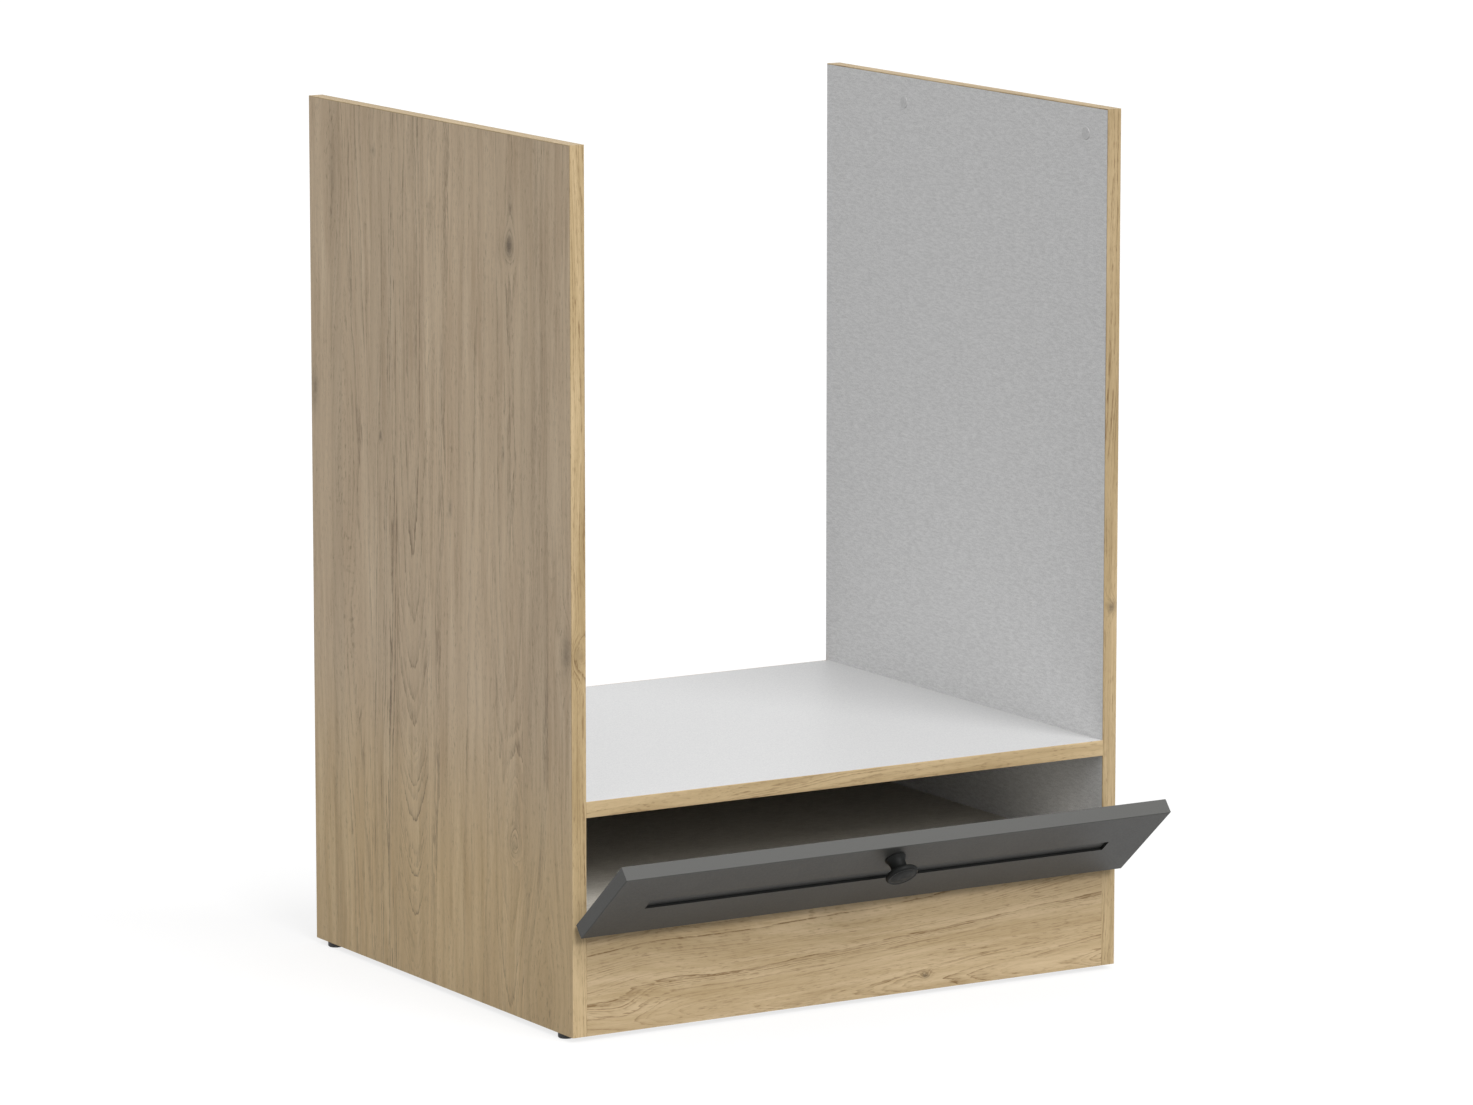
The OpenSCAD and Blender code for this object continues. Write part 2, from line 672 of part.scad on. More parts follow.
module flap_buffers() color(cap_grey) on_flap() for (hand = [left, right])
    translate([hand * buffer_x, flap_back, flap_head - buffer_drop]) rotate([-90, 0, 0])
        cylinder(h = flap_back_gap - buffer_gap, r1 = buffer_d / 2, r2 = buffer_d / 2 - buffer_gap);

// ---------------------------------------------------------------- pieces

side_panel(left);  // left_side_panel
side_panel(right);  // right_side_panel
side_front_band(left);  // left_front_edge_band
side_front_band(right);  // right_front_edge_band
side_top_band(left);  // left_top_edge_band
side_top_band(right);  // right_top_edge_band
oven_shelf();
shelf_edge_band();
floor_panel();
floor_edge_band();
plinth_panel();
back_panel();
back_panel_nails();
glide(left, "front");  // glide_front_left
glide(right, "front");  // glide_front_right
glide(left, "rear");  // glide_rear_left
glide(right, "rear");  // glide_rear_right
cover_caps(left);  // left_cover_caps
cover_caps(right);  // right_cover_caps
in_room() on_shelf() cams(ledge_bolts);  // shelf_cams
in_room() on_shelf() cam_bolts(ledge_bolts);  // shelf_cam_bolts
in_room() on_shelf() dowels(ledge_dowels);  // shelf_dowels
in_room() on_floor() cams(ledge_bolts);  // floor_cams
in_room() on_floor() cam_bolts(ledge_bolts);  // floor_cam_bolts
in_room() on_floor() dowels(ledge_dowels);  // floor_dowels
in_room() on_plinth() cams(plinth_bolts);  // plinth_cams
in_room() on_plinth() cam_bolts(plinth_bolts);  // plinth_cam_bolts
in_room() on_plinth() dowels(plinth_dowels_up);  // plinth_dowels
carcass_leaf(left);  // left_hinge_carcass_leaf
flap_leaf(left);  // left_hinge_flap_leaf
hinge_pin(left);  // left_hinge_pin
carcass_leaf(right);  // right_hinge_carcass_leaf
flap_leaf(right);  // right_hinge_flap_leaf
hinge_pin(right);  // right_hinge_pin
carcass_hinge_screws();
flap_hinge_screws();
flap_top_rail();
flap_bottom_rail();
flap_stile(left);  // flap_left_stile
flap_stile(right);  // flap_right_stile
flap_centre_panel();
flap_mitre_dowels();
knob();
knob_screw();
flap_buffers();
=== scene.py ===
"""Looks of the oven housing unit: oak decor boards, white melamine and a graphite flap."""

import logging
import math
from collections.abc import Callable, Sequence
from dataclasses import dataclass
from enum import Enum
from functools import partial

import bpy
import numpy as np
from mathutils import Euler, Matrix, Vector


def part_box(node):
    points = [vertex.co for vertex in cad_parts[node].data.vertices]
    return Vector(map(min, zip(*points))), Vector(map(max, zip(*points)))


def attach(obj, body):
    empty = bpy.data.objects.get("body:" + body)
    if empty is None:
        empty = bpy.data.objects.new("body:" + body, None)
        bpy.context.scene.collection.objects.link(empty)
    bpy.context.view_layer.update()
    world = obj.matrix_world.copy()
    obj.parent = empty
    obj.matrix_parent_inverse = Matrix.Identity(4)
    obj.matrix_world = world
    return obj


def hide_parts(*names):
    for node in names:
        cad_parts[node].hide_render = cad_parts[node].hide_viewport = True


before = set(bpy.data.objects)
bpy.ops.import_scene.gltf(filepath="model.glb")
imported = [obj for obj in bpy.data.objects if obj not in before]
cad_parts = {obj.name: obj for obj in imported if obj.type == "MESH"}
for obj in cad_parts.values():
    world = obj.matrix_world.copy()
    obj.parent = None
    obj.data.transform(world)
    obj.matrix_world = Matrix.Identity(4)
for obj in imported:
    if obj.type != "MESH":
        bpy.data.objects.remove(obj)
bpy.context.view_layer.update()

log = logging.getLogger("oven_housing")
Socket = bpy.types.NodeSocket

MM = 0.001
SAME_POINT = 7  # decimals of a metre to which two points have to agree to be one
IN_PLANE = 2e-6  # metres within which a point lies in a plane
ON_EDGE = 1e-6  # metres within which a point lies on an edge
PHOTO_WIDTH = 1473
FRONT_PLANE = -198.254  # the panels' front edges in the row frame, in mm along Y
HALF_WIDTH = 300.0  # mm from the middle to a side panel's outer face
BOARD = 15.0  # mm, thickness of the boards
FLAP_OPEN = 50.0  # degrees at rest
AXIS_Y, AXIS_Z = -199.254, 111.5  # the flap's hinge axis in mm
NO_WARM_BOUNCE = -1000.0  # an end of the painted warm floor bounce that keeps a face clear of it
SMOOTH = {"interpolation_type": "SMOOTHSTEP"}  # settings of a soft step between two values
COLOURS = {"data_type": "RGBA"}  # settings of a mix of two colours


class Slot(Enum):
    """The record's material slots of the pieces that are made here."""

    OAK_BOARD = "oak_board"
    OAK_EDGE = "oak_edge"
    BLACK_METAL = "black_metal"
    GREY_PLASTIC = "grey_plastic"


class Body(Enum):
    """The bodies that pieces ride on."""

    CARCASS = "carcass"
    FLAP = "flap"


class Emboss(Enum):
    """Press plate that a melamine face was made with."""

    LINEN = "linen"
    PEARL = "pearl"


# ---------------------------------------------------------------- nodes and colours


def linear(colour: str) -> tuple[float, float, float, float]:
    """Turns a hex sRGB colour into linear RGBA.

    Args:
        colour: six hex digits after a #.

    Returns:
        Linear red, green and blue, and an alpha of 1.
    """
    channels = [int(colour[i : i + 2], 16) / 255 for i in (1, 3, 5)]
    red, green, blue = [
        c / 12.92 if c <= 0.04045 else ((c + 0.055) / 1.055) ** 2.4 for c in channels
    ]
    return red, green, blue, 1.0


def bare_tree(owner: bpy.types.Material | bpy.types.World) -> bpy.types.NodeTree:
    """Gives a material or world an empty node tree."""
    owner.use_nodes = True
    owner.node_tree.nodes.clear()
    return owner.node_tree


def add_node(
    tree: bpy.types.NodeTree,
    kind: str,
    inputs: Sequence[object] | dict[str, object] = (),
    out: int | str = 0,
    **settings: object,
) -> Socket | None:
    """Adds one node with its settings and links.

    Args:
        tree: node tree that gets the node.
        kind: type of the node without its ShaderNode prefix.
        inputs: values or sockets for the inputs in use, in order or by name.
        out: output in use, by its order or name.
        **settings: properties of the node.

    Returns:
        The output socket asked for, or None from a node that has none.
    """
    node = tree.nodes.new("ShaderNode" + kind)
    for name, value in settings.items():
        setattr(node, name, value)
    used = [s for s in node.inputs if s.enabled]
    pairs = inputs.items() if isinstance(inputs, dict) else enumerate(inputs)
    for place, value in pairs:
        socket = used[place] if isinstance(place, int) else node.inputs[place]
        if isinstance(value, Socket):
            tree.links.new(value, socket)
        else:
            socket.default_value = value
    if isinstance(out, str):
        return node.outputs[out]
    ready = [s for s in node.outputs if s.enabled]
    return ready[out] if ready else None


# ---------------------------------------------------------------- finishes


@dataclass(frozen=True)
class Finish:
    """Base of the finishes: a named procedural material, made once."""

    name: str

    def make(self) -> bpy.types.Material:
        """Makes the material, or returns the one made before.

        Returns:
            The material with its node tree.
        """
        known = bpy.data.materials.get(self.name)
        if known:
            return known
        made = bpy.data.materials.new(self.name)
        tree = bare_tree(made)
        add_node(tree, "OutputMaterial", (self.paint(tree),))
        return made

    def paint(self, tree: bpy.types.NodeTree) -> Socket:
        """Adds the finish's own nodes and gives the shader's output; each has its own."""
        raise NotImplementedError


@dataclass(frozen=True)
class OakDecor(Finish):
    """Printed oak: fibre, growth rings and pores, under a matt skin pressed with open pores.

    The piece carries the figure: "figure" is ring number, millimetres across and millimetres
    along the grain, and "shade" is tone, knot and contrast.
    """

    light: str = "#dfcaac"
    middle: str = "#bfa789"
    late: str = "#7c6750"
    pore: str = "#776345"
    knot: str = "#5d5041"
    warm_bounce_light: str = "#dec59b"  # painted warm floor bounce: the same two tones, warmer, towards the foot of the face
    warm_bounce_middle: str = "#bfa378"
    warm_bounce_end: float = 330.0  # mm along the grain where the painted warm bounce has gone
    warm_bounce_fade: float = 230.0  # mm over which it fades
    pores: float = 0.55  # how strongly the pores show
    pore_size: tuple[float, float] = (0.9, 8.0)  # mm; real ones are finer and wouldn't show
    roughness: float = 0.52

    def noises(self, tree: bpy.types.NodeTree, across: Socket, along: Socket) -> dict[str, Socket]:
        """Makes the noises of the print, each drawn out along the grain.

        Args:
            tree: node tree that gets the nodes.
            across: millimetres across the grain.
            along: millimetres along the grain.

        Returns:
            Each noise by its name.
        """
        add = partial(add_node, tree)
        # Cell's width and length in mm, octaves, their share, and a depth that tells it apart
        cells = {
            "drift": (5, 80, 3.0, 0.6, 0.0),  # a ring wanders and bunches
            "stretch": (16, 120, 3.0, 0.55, 3.1),  # a late line comes and goes in stretches
            "fleck": (0.9, 9, 2.0, 0.6, 6.6),  # and is made of flecks
            "fibre": (14, 260, 7.0, 0.74, 9.7),  # bundles of 14 mm down to fibres of 0.1 mm
            "calm": (30, 200, 2.0, 0.5, 21.3),
            "patch": (10, 55, 2.0, 0.5, 15.9),
            "pore": (*self.pore_size, 2.0, 0.6, 1.9),
            "heart": (5, 9, 4.0, 0.65, 7.7),  # a knot's cracked heart
        }
        found = {}
        for name, (width, length, octaves, share, depth) in cells.items():
            x = add("Math", (across, 1 / width), operation="MULTIPLY")
            y = add("Math", (along, 1 / length), operation="MULTIPLY")
            place = add("CombineXYZ", (x, y, depth))
            inputs = {"Vector": place, "Scale": 1.0, "Detail": octaves, "Roughness": share}
            found[name] = add("TexNoise", inputs)
        return found

    def late_wood(
        self, tree: bpy.types.NodeTree, count: Socket, turn: Socket, noise: dict[str, Socket]
    ) -> Socket:
        """Makes the late wood at each ring's end: thin, strong in few rings and broken up.

        Args:
            tree: node tree that gets the nodes.
            count: ring number.
            turn: its fraction, 0 to 1 through the ring.
            noise: the print's noises.

        Returns:
            How strong the late wood is.
        """
        add = partial(add_node, tree)
        lines = []
        # Power that it rises by, where it starts to fall again, and its strength
        for power, fall, strength in ((4.5, 0.93, 1.0), (1.6, 0.9, 0.35)):
            rise = add("Math", (turn, power), operation="POWER")
            drop = add("MapRange", (turn, fall, 1.0, strength, 0.0), **SMOOTH)
            lines.append(add("Math", (rise, drop), operation="MULTIPLY"))
        late = add("Math", lines, operation="ADD")
        number = add("Math", (count,), operation="FLOOR")
        chance = add("TexWhiteNoise", {"W": number}, noise_dimensions="1D")
        chance = add("Math", (chance, chance), operation="MULTIPLY")
        for share in (
            add("MapRange", (noise["stretch"], 0.36, 0.6, 0.3, 1.0), **SMOOTH),
            add("MapRange", (noise["fleck"], 0.35, 0.6, 0.35, 1.0), **SMOOTH),
            add("Math", (chance, 1.1, 0.3), operation="MULTIPLY_ADD"),
        ):
            late = add("Math", (late, share), operation="MULTIPLY")
        return late

    def paint(self, tree: bpy.types.NodeTree) -> Socket:
        """Builds the oak from the piece's figure."""
        add = partial(add_node, tree)
        figure = add("Attribute", out="Vector", attribute_name="figure")
        shade = add("Attribute", out="Vector", attribute_name="shade")
        ring, across, along = add("SeparateXYZ", (figure,)).node.outputs
        tone, knot, contrast = add("SeparateXYZ", (shade,)).node.outputs
        noise = self.noises(tree, across, along)

        # Rings of uneven width
        inputs = {"W": ring, "Scale": 0.37, "Detail": 2.0, "Roughness": 0.6}
        uneven = add("TexNoise", inputs, noise_dimensions="1D")
        count = add("Math", (uneven, 4.0, ring), operation="MULTIPLY_ADD")
        count = add("Math", (noise["drift"], 1.4, count), operation="MULTIPLY_ADD")
        turn = add("Math", (count,), operation="FRACT")
        late = self.late_wood(tree, count, turn, noise)
        late = add("Math", (late, contrast), operation="MULTIPLY")
        late = add("Math", (late, 0.85), operation="MINIMUM")

        # Fibre, stronger in some places than in others
        fibre = add("MapRange", (noise["fibre"], 0.3, 0.7, 0.0, 1.0), **SMOOTH)
        calm = add("MapRange", (noise["calm"], 0.35, 0.65, 0.45, 1.0), **SMOOTH)
        fibre = add("Math", (fibre, 0.5), operation="SUBTRACT")
        fibre = add("Math", (fibre, calm, 0.5), operation="MULTIPLY_ADD")

        # Pores, in patches and more of them towards the ring's end
        pore = add("MapRange", (noise["pore"], 0.53, 0.68, 0.0, 1.0), **SMOOTH)
        patch = add("MapRange", (noise["patch"], 0.35, 0.65, 0.35, 1.0), **SMOOTH)
        ringed = add("MapRange", (turn, 0.2, 0.9, 0.5, 1.0), **SMOOTH)
        for share in (patch, ringed):
            pore = add("Math", (pore, share), operation="MULTIPLY")
        heart = add("MapRange", (noise["heart"], 0.25, 0.7, 0.6, 1.3), **SMOOTH)
        heart = add("Math", (heart, knot), operation="MULTIPLY")

        # Painted warm floor bounce: the light and middle tones turn warmer towards the foot of the face
        fade = (along, self.warm_bounce_end - self.warm_bounce_fade, self.warm_bounce_end, 1.0, 0.0)
        foot = add("MapRange", fade, **SMOOTH)
        light = add("Mix", (foot, linear(self.light), linear(self.warm_bounce_light)), **COLOURS)
        middle = add("Mix", (foot, linear(self.middle), linear(self.warm_bounce_middle)), **COLOURS)
        colour = add("Mix", (fibre, light, middle), **COLOURS)
        for share, stain in (
            (late, self.late),
            (add("Math", (pore, self.pores), operation="MULTIPLY"), self.pore),
            (add("Math", (heart, 1.0), operation="MINIMUM"), self.knot),
        ):
            colour = add("Mix", (share, colour, linear(stain)), **COLOURS)
        colour = add("VectorMath", {"Vector": colour, "Scale": tone}, operation="SCALE")
        height = add("Math", (pore, -0.7, fibre), operation="MULTIPLY_ADD")
        bump = add("Bump", {"Strength": 0.25, "Distance": 0.15 * MM, "Height": height})
        shine = {"Roughness": self.roughness, "IOR": 1.45, "Specular IOR Level": 0.35}
        return add("BsdfPrincipled", {"Base Color": colour, "Normal": bump, **shine})


@dataclass(frozen=True)
class Melamine(Finish):
    """White melamine: resin-soaked paper, hot-pressed on chipboard under an embossed plate,
    which leaves wavy cloth-like ribs or a fine orange peel. The hollows are painted a little
    darker than the crests, as painted shade."""

    emboss: Emboss = Emboss.PEARL
    colour: str = "#dcdcdb"
    # tone of the hollows: painted shade in the relief
    hollow_shade: str = "#cfcfd0"
    relief: float = 0.15
    depth: float = 0.2  # mm
    ribs: tuple[float, float, float] = (120.0, 120.0, 480.0)  # per metre: 8 mm long, 2 mm wide
    thread: float = 800.0  # per metre, of the threads in the ribs: 1.25 mm
    peel: float = 900.0  # per metre, of the orange peel: 1.1 mm
    roughness: float = 0.45

    def height(self, tree: bpy.types.NodeTree, place: Socket) -> Socket:
        """Relief of the face.

        Args:
            tree: node tree that gets the nodes.
            place: position in metres.

        Returns:
            Height from about 0 to 1.
        """
        add = partial(add_node, tree)
        cloudy = {"Detail": 2.0, "Roughness": 0.6}
        if self.emboss is Emboss.PEARL:
            return add("TexNoise", {"Vector": place, "Scale": self.peel, **cloudy})
        drawn = add("VectorMath", (place, self.ribs), operation="MULTIPLY")
        rib = add("TexNoise", {"Vector": drawn, "Scale": 1.0, "Distortion": 0.4, **cloudy})
        thread = add("TexNoise", {"Vector": place, "Scale": self.thread, "Detail": 1.0})
        return add("Mix", (0.5, rib, thread), data_type="FLOAT")

    def paint(self, tree: bpy.types.NodeTree) -> Socket:
        """Builds the white face."""
        add = partial(add_node, tree)
        height = self.height(tree, add("TexCoord", out="Object"))
        crest = add("MapRange", (height, 0.3, 0.7, 0.0, 1.0), **SMOOTH)
        # Painted shade: the hollows of the relief take the darker tone
        colour = add("Mix", (crest, linear(self.hollow_shade), linear(self.colour)), **COLOURS)
        inputs = {"Strength": self.relief, "Distance": self.depth * MM, "Height": height}
        bump = add("Bump", inputs)
        shine = {"Roughness": self.roughness, "IOR": 1.5, "Specular IOR Level": 0.25}
        return add("BsdfPrincipled", {"Base Color": colour, "Normal": bump, **shine})


@dataclass(frozen=True)
class RawChipboard(Finish):
    """Sawn edge of chipboard: glued chips cut through, rough, in many tones of pale wood."""

    chip: float = 420.0  # per metre, of the chips: 2.4 mm
    bend: float = 300.0  # per metre, of the waves that bend their outlines: 3.3 mm
    dust: float = 1400.0  # per metre, of the dark glue and dust between them: 0.7 mm

    def paint(self, tree: bpy.types.NodeTree) -> Socket:
        """Builds the chips from cells with their own tones, and the dust from noise."""
        add = partial(add_node, tree)
        place = add("TexCoord", out="Object")
        inputs = {"Vector": place, "Scale": self.bend, "Detail": 2.0}
        bent = add("TexNoise", inputs, out="Color")
        bent = add("VectorMath", (bent, (3 * MM,) * 3, place), operation="MULTIPLY_ADD")
        chip = add("TexVoronoi", {"Vector": bent, "Scale": self.chip}, out="Color")
        tone = add("SeparateColor", (chip,))
        dust = add("TexNoise", {"Vector": place, "Scale": self.dust, "Detail": 3.0})
        colour = add("Mix", (tone, linear("#c6a877"), linear("#e2cca4")), **COLOURS)
        between = add("MapRange", (dust, 0.35, 0.6, 0.5, 0.0), **SMOOTH)
        colour = add("Mix", (between, colour, linear("#a58557")), **COLOURS)
        height = add("Math", (tone, dust), operation="ADD")
        bump = add("Bump", {"Strength": 0.6, "Distance": 0.4 * MM, "Height": height})
        shine = {"Roughness": 0.9, "Specular IOR Level": 0.2}
        return add("BsdfPrincipled", {"Base Color": colour, "Normal": bump, **shine})


@dataclass(frozen=True)
class Hardboard(Finish):
    """Hardboard, pressed from fibres: a thin brown lacquer on its face, bare fibres behind."""

    face_before: float = 299.0  # mm along Y: what lies before this is the lacquered face
    fibre: float = 420.0  # per metre, of the fibre bundles: 2.4 mm
    cloud: float = 18.0  # per metre, of the darker clouds in the mat: 56 mm

    def paint(self, tree: bpy.types.NodeTree) -> Socket:
        """Builds lacquer and fibre, parted by the depth in the board."""
        add = partial(add_node, tree)
        place = add("TexCoord", out="Object")
        depth = add("SeparateXYZ", (place,)).node.outputs[1]
        rear = add("Math", (depth, self.face_before * MM), operation="GREATER_THAN")
        inputs = {"Vector": place, "Scale": self.fibre, "Detail": 5.0, "Roughness": 0.7}
        fibre = add("TexNoise", inputs)
        cloud = add("TexNoise", {"Vector": place, "Scale": self.cloud, "Detail": 3.0})
        share = add("MapRange", (fibre, 0.3, 0.7, 0.0, 1.0), **SMOOTH)
        bare = add("Mix", (share, linear("#a8835a"), linear("#c7a273")), **COLOURS)
        share = add("MapRange", (cloud, 0.3, 0.7, 0.0, 0.3), **SMOOTH)
        bare = add("Mix", (share, bare, linear("#94714b")), **COLOURS)
        share = add("MapRange", (fibre, 0.35, 0.7, 0.0, 1.0), **SMOOTH)
        face = add("Mix", (share, linear("#8f6f4b"), linear("#9e7e59")), **COLOURS)
        colour = add("Mix", (rear, face, bare), **COLOURS)
        bump = add("Bump", {"Strength": 0.3, "Distance": 0.2 * MM, "Height": fibre})
        shine = {"Roughness": 0.7, "Specular IOR Level": 0.3}
        return add("BsdfPrincipled", {"Base Color": colour, "Normal": bump, **shine})


@dataclass(frozen=True)
class GraphiteLacquer(Finish):
    """Matt graphite lacquer, sprayed on MDF: a faint peel, and a top edge painted lighter as a painted highlight.

    On the frame's members the routed step round the centre panel is painted near black as
    painted shade in the recess, and a hairline marks each mitre.
    """

    base: str = "#494947"
    # painted highlight of the top edge
    edge: str = "#585856"
    # painted shade of the routed step
    routed: str = "#1d1e1d"
    hairline: str = "#2c2c2b"
    framed: bool = True
    flap_half: float = 298.5  # mm, half the flap's width
    member: float = 46.5  # mm, width of a frame member
    foot: float = 2.5  # mm from the hinge axis to the flap's lower edge
    head: float = 110.5  # and to its upper edge
    slack: float = 0.2  # mm that a mark reaches past its edge
    peel: float = 650.0  # per metre: 1.5 mm; a real peel is finer and wouldn't show
    cloud: float = 22.0  # per metre, of the sprayer's passes: 45 mm

    def mark_frame(
        self, tree: bpy.types.NodeTree, colour: Socket, aside: Socket, up: Socket
    ) -> Socket:
        """Paints shade on the routed step and darkens the mitres.

        Args:
            tree: node tree that gets the nodes.
            colour: the lacquer's colour.
            aside: metres from the flap's middle along X.
            up: metres from the hinge axis up the flap.

        Returns:
            The colour with both marks.
        """
        add = partial(add_node, tree)
        middle = (self.foot + self.head) / 2
        inside, beyond = [], []
        for line, centre, half in (
            (aside, 0.0, self.flap_half - self.member),
            (up, middle, self.head - middle - self.member),
        ):
            off = add("Math", (line, centre * MM), operation="SUBTRACT")
            off = add("Math", (off,), operation="ABSOLUTE")
            reach = (half + self.slack) * MM
            inside.append(add("Math", (off, reach), operation="LESS_THAN"))
            beyond.append(add("Math", (off, half * MM), operation="SUBTRACT"))
        # Painted shade: the walls of the routed step are painted near black
        step = add("Math", inside, operation="MULTIPLY")
        colour = add("Mix", (step, colour, linear(self.routed)), **COLOURS)
        gap = add("Math", beyond, operation="SUBTRACT")
        gap = add("Math", (gap,), operation="ABSOLUTE")
        share = add("MapRange", (gap, 0.1 * MM, 0.5 * MM, 0.35, 0.0), **SMOOTH)
        return add("Mix", (share, colour, linear(self.hairline)), **COLOURS)

    def paint(self, tree: bpy.types.NodeTree) -> Socket:
        """Builds the lacquer in the flap's own upright coordinates."""
        add = partial(add_node, tree)
        axis, turn = (0, AXIS_Y * MM, AXIS_Z * MM), (math.radians(FLAP_OPEN), 0, 0)
        place = add("TexCoord", out="Object")
        upright = add("Mapping", (place, axis, turn), vector_type="TEXTURE")
        aside, _, up = add("SeparateXYZ", (upright,)).node.outputs
        inputs = {"Vector": upright, "Scale": self.peel, "Detail": 3.0, "Roughness": 0.6}
        peel = add("TexNoise", inputs)
        cloud = add("TexNoise", {"Vector": upright, "Scale": self.cloud, "Detail": 4.0})
        cloud = add("MapRange", (cloud, 0.3, 0.7, 0.0, 1.0), **SMOOTH)
        darker = add("Mix", (0.12, linear(self.base), linear("#000000")), **COLOURS)
        colour = add("Mix", (cloud, linear(self.base), darker), **COLOURS)
        # Painted highlight: the top edge is made lighter, where the light falls on it
        lit_top_edge = add("Math", (up, (self.head - self.slack) * MM), operation="GREATER_THAN")
        colour = add("Mix", (lit_top_edge, colour, linear(self.edge)), **COLOURS)
        if self.framed:
            colour = self.mark_frame(tree, colour, aside, up)
        bump = add("Bump", {"Strength": 0.12, "Distance": 0.1 * MM, "Height": peel})
        rough = add("MapRange", (peel, 0.3, 0.7, 0.42, 0.5), **SMOOTH)
        shine = {"Roughness": rough, "IOR": 1.5, "Specular IOR Level": 0.3}
        return add("BsdfPrincipled", {"Base Color": colour, "Normal": bump, **shine})


@dataclass(frozen=True)
class Plain(Finish):
    """A moulded, cast or turned material: two close tones in fine cells under a light relief."""

    colour: str
    second: str
    grain: float  # cells per metre
    stretch: tuple[float, float, float] = (1.0, 1.0, 1.0)  # below 1, long along the tool's path
    metallic: float = 0.0
    roughness: float = 0.5
    relief: float = 0.15
    specular: float = 0.5
    wear: float = 15.0  # patches of wear are so many times wider than the grain

    def paint(self, tree: bpy.types.NodeTree) -> Socket:
        """Builds the grain and the patches where the surface is a little worn."""
        add = partial(add_node, tree)
        place = add("TexCoord", out="Object")
        drawn = add("VectorMath", (place, self.stretch), operation="MULTIPLY")
        inputs = {"Vector": drawn, "Scale": self.grain, "Detail": 4.0, "Roughness": 0.6}
        cells = add("TexNoise", inputs)
        scale = self.grain / self.wear
        wear = add("TexNoise", {"Vector": place, "Scale": scale, "Detail": 3.0})
        share = add("MapRange", (cells, 0.3, 0.7, 0.0, 1.0), **SMOOTH)
        colour = add("Mix", (share, linear(self.colour), linear(self.second)), **COLOURS)
        smooth, worn = self.roughness - 0.06, self.roughness + 0.08
        rough = add("MapRange", (wear, 0.3, 0.7, smooth, worn), **SMOOTH)
        bump = add("Bump", {"Strength": self.relief, "Distance": 0.1 * MM, "Height": cells})
        shine = {"Metallic": self.metallic, "Roughness": rough, "Specular IOR Level": self.specular}
        return add("BsdfPrincipled", {"Base Color": colour, "Normal": bump, **shine})


# Melamine paper printed with oak, hot-pressed between matt plates: warm grey-brown, no shine
OAK = OakDecor("oak_decor")
# The same decor on the fronts, from a yellower batch
OAK_FRONT = OakDecor(
    "oak_decor_front", light="#d1ba96", middle="#b19972", late="#785c36", pore="#7b603d",
    pores=0.62, pore_size=(1.1, 12.0), warm_bounce_end=NO_WARM_BOUNCE,
)
# ABS edging, extruded, printed with oak and matt-lacquered: lighter and yellower than the faces
OAK_EDGE = OakDecor(
    "oak_edging", light="#d4bc94", middle="#ac946c", late="#765b37", pore="#775c3a",
    pores=0.62, pore_size=(1.1, 9.0), warm_bounce_end=NO_WARM_BOUNCE,
)
# White melamine pressed under a linen plate: soft level ribs. Real threads are under 1 mm and
# wouldn't show, so the ribs are drawn 2 mm wide
WHITE_LINEN = Melamine(
    "white_melamine_linen", Emboss.LINEN, "#ececec", "#d1d1d1", 0.5, 0.3, roughness=0.55
)
# The same on the lying floor panel, ribs across; painted darker and warmer: painted shade of the bay and painted warm
# bounce from the brown back
WHITE_LINEN_FLOOR_SHADED = Melamine(
    "white_melamine_linen_floor_shaded", Emboss.LINEN, "#d7d2c8", "#b9b3a8", 0.4, 0.3,
    ribs=(120.0, 480.0, 120.0), roughness=0.55,
)
# White melamine pressed under a pearl plate: smoother, so it holds a soft reflection
WHITE_PEARL = Melamine("white_melamine_pearl")
# Chipboard, sawn and left bare: dull and speckled
CHIPBOARD = RawChipboard("raw_chipboard")
# Hardboard, wet-pressed and lacquered on one face: brown, smooth in front and fibrous behind
HARDBOARD = Hardboard("lacquered_hardboard")
# MDF, routed and sprayed with matt graphite lacquer: even and dark with a faint peel
GRAPHITE_FRAME = GraphiteLacquer("graphite_lacquer_frame")
GRAPHITE_PANEL = GraphiteLacquer("graphite_lacquer_panel", framed=False)
# ABS edging, extruded in white: plain, with a low sheen and hardly any grain (0.7 mm)
WHITE_ABS = Plain("white_abs_edging", "#e4e4e2", "#dcdcda", 1500.0, roughness=0.45, relief=0.05)
# Zinc casting, powder-coated matt black: a dull black with a grit of 0.4 mm
BLACK_CASTING = Plain(
    "black_powder_coat", "#171817", "#101110", 2600.0, relief=0.2, specular=0.15
)
# Nylon, injection-moulded in black from a spark-eroded mould: satin, with a grain of 0.6 mm
BLACK_NYLON = Plain("black_nylon", "#1b1b1c", "#232324", 1600.0)
# Polythene caps, injection-moulded in grey: smooth, with clouds of 2 mm
GREY_CAP = Plain("grey_cap_plastic", "#d4d4d4", "#c4c4c4", 450.0, roughness=0.4, relief=0.1)
# Soft rubber drops, cast clear: milky grey and dull, with a grain of 0.7 mm
RUBBER = Plain("clear_grey_rubber", "#b9b9b4", "#a8a8a3", 1500.0, roughness=0.6)
# Zinc, die-cast and tumbled: a grey metal with a broken satin shine, dimpled every 0.9 mm
ZINC = Plain("die_cast_zinc", "#b4b6b8", "#9b9da0", 1100.0, metallic=1.0, roughness=0.42)
# Steel wire, drawn, turned and bright zinc-plated: fine lines, 0.7 mm apart
STEEL = Plain(
    "turned_steel", "#c3c5c7", "#a9abad", 1500.0, (0.08, 1, 1), metallic=1.0, roughness=0.35
)
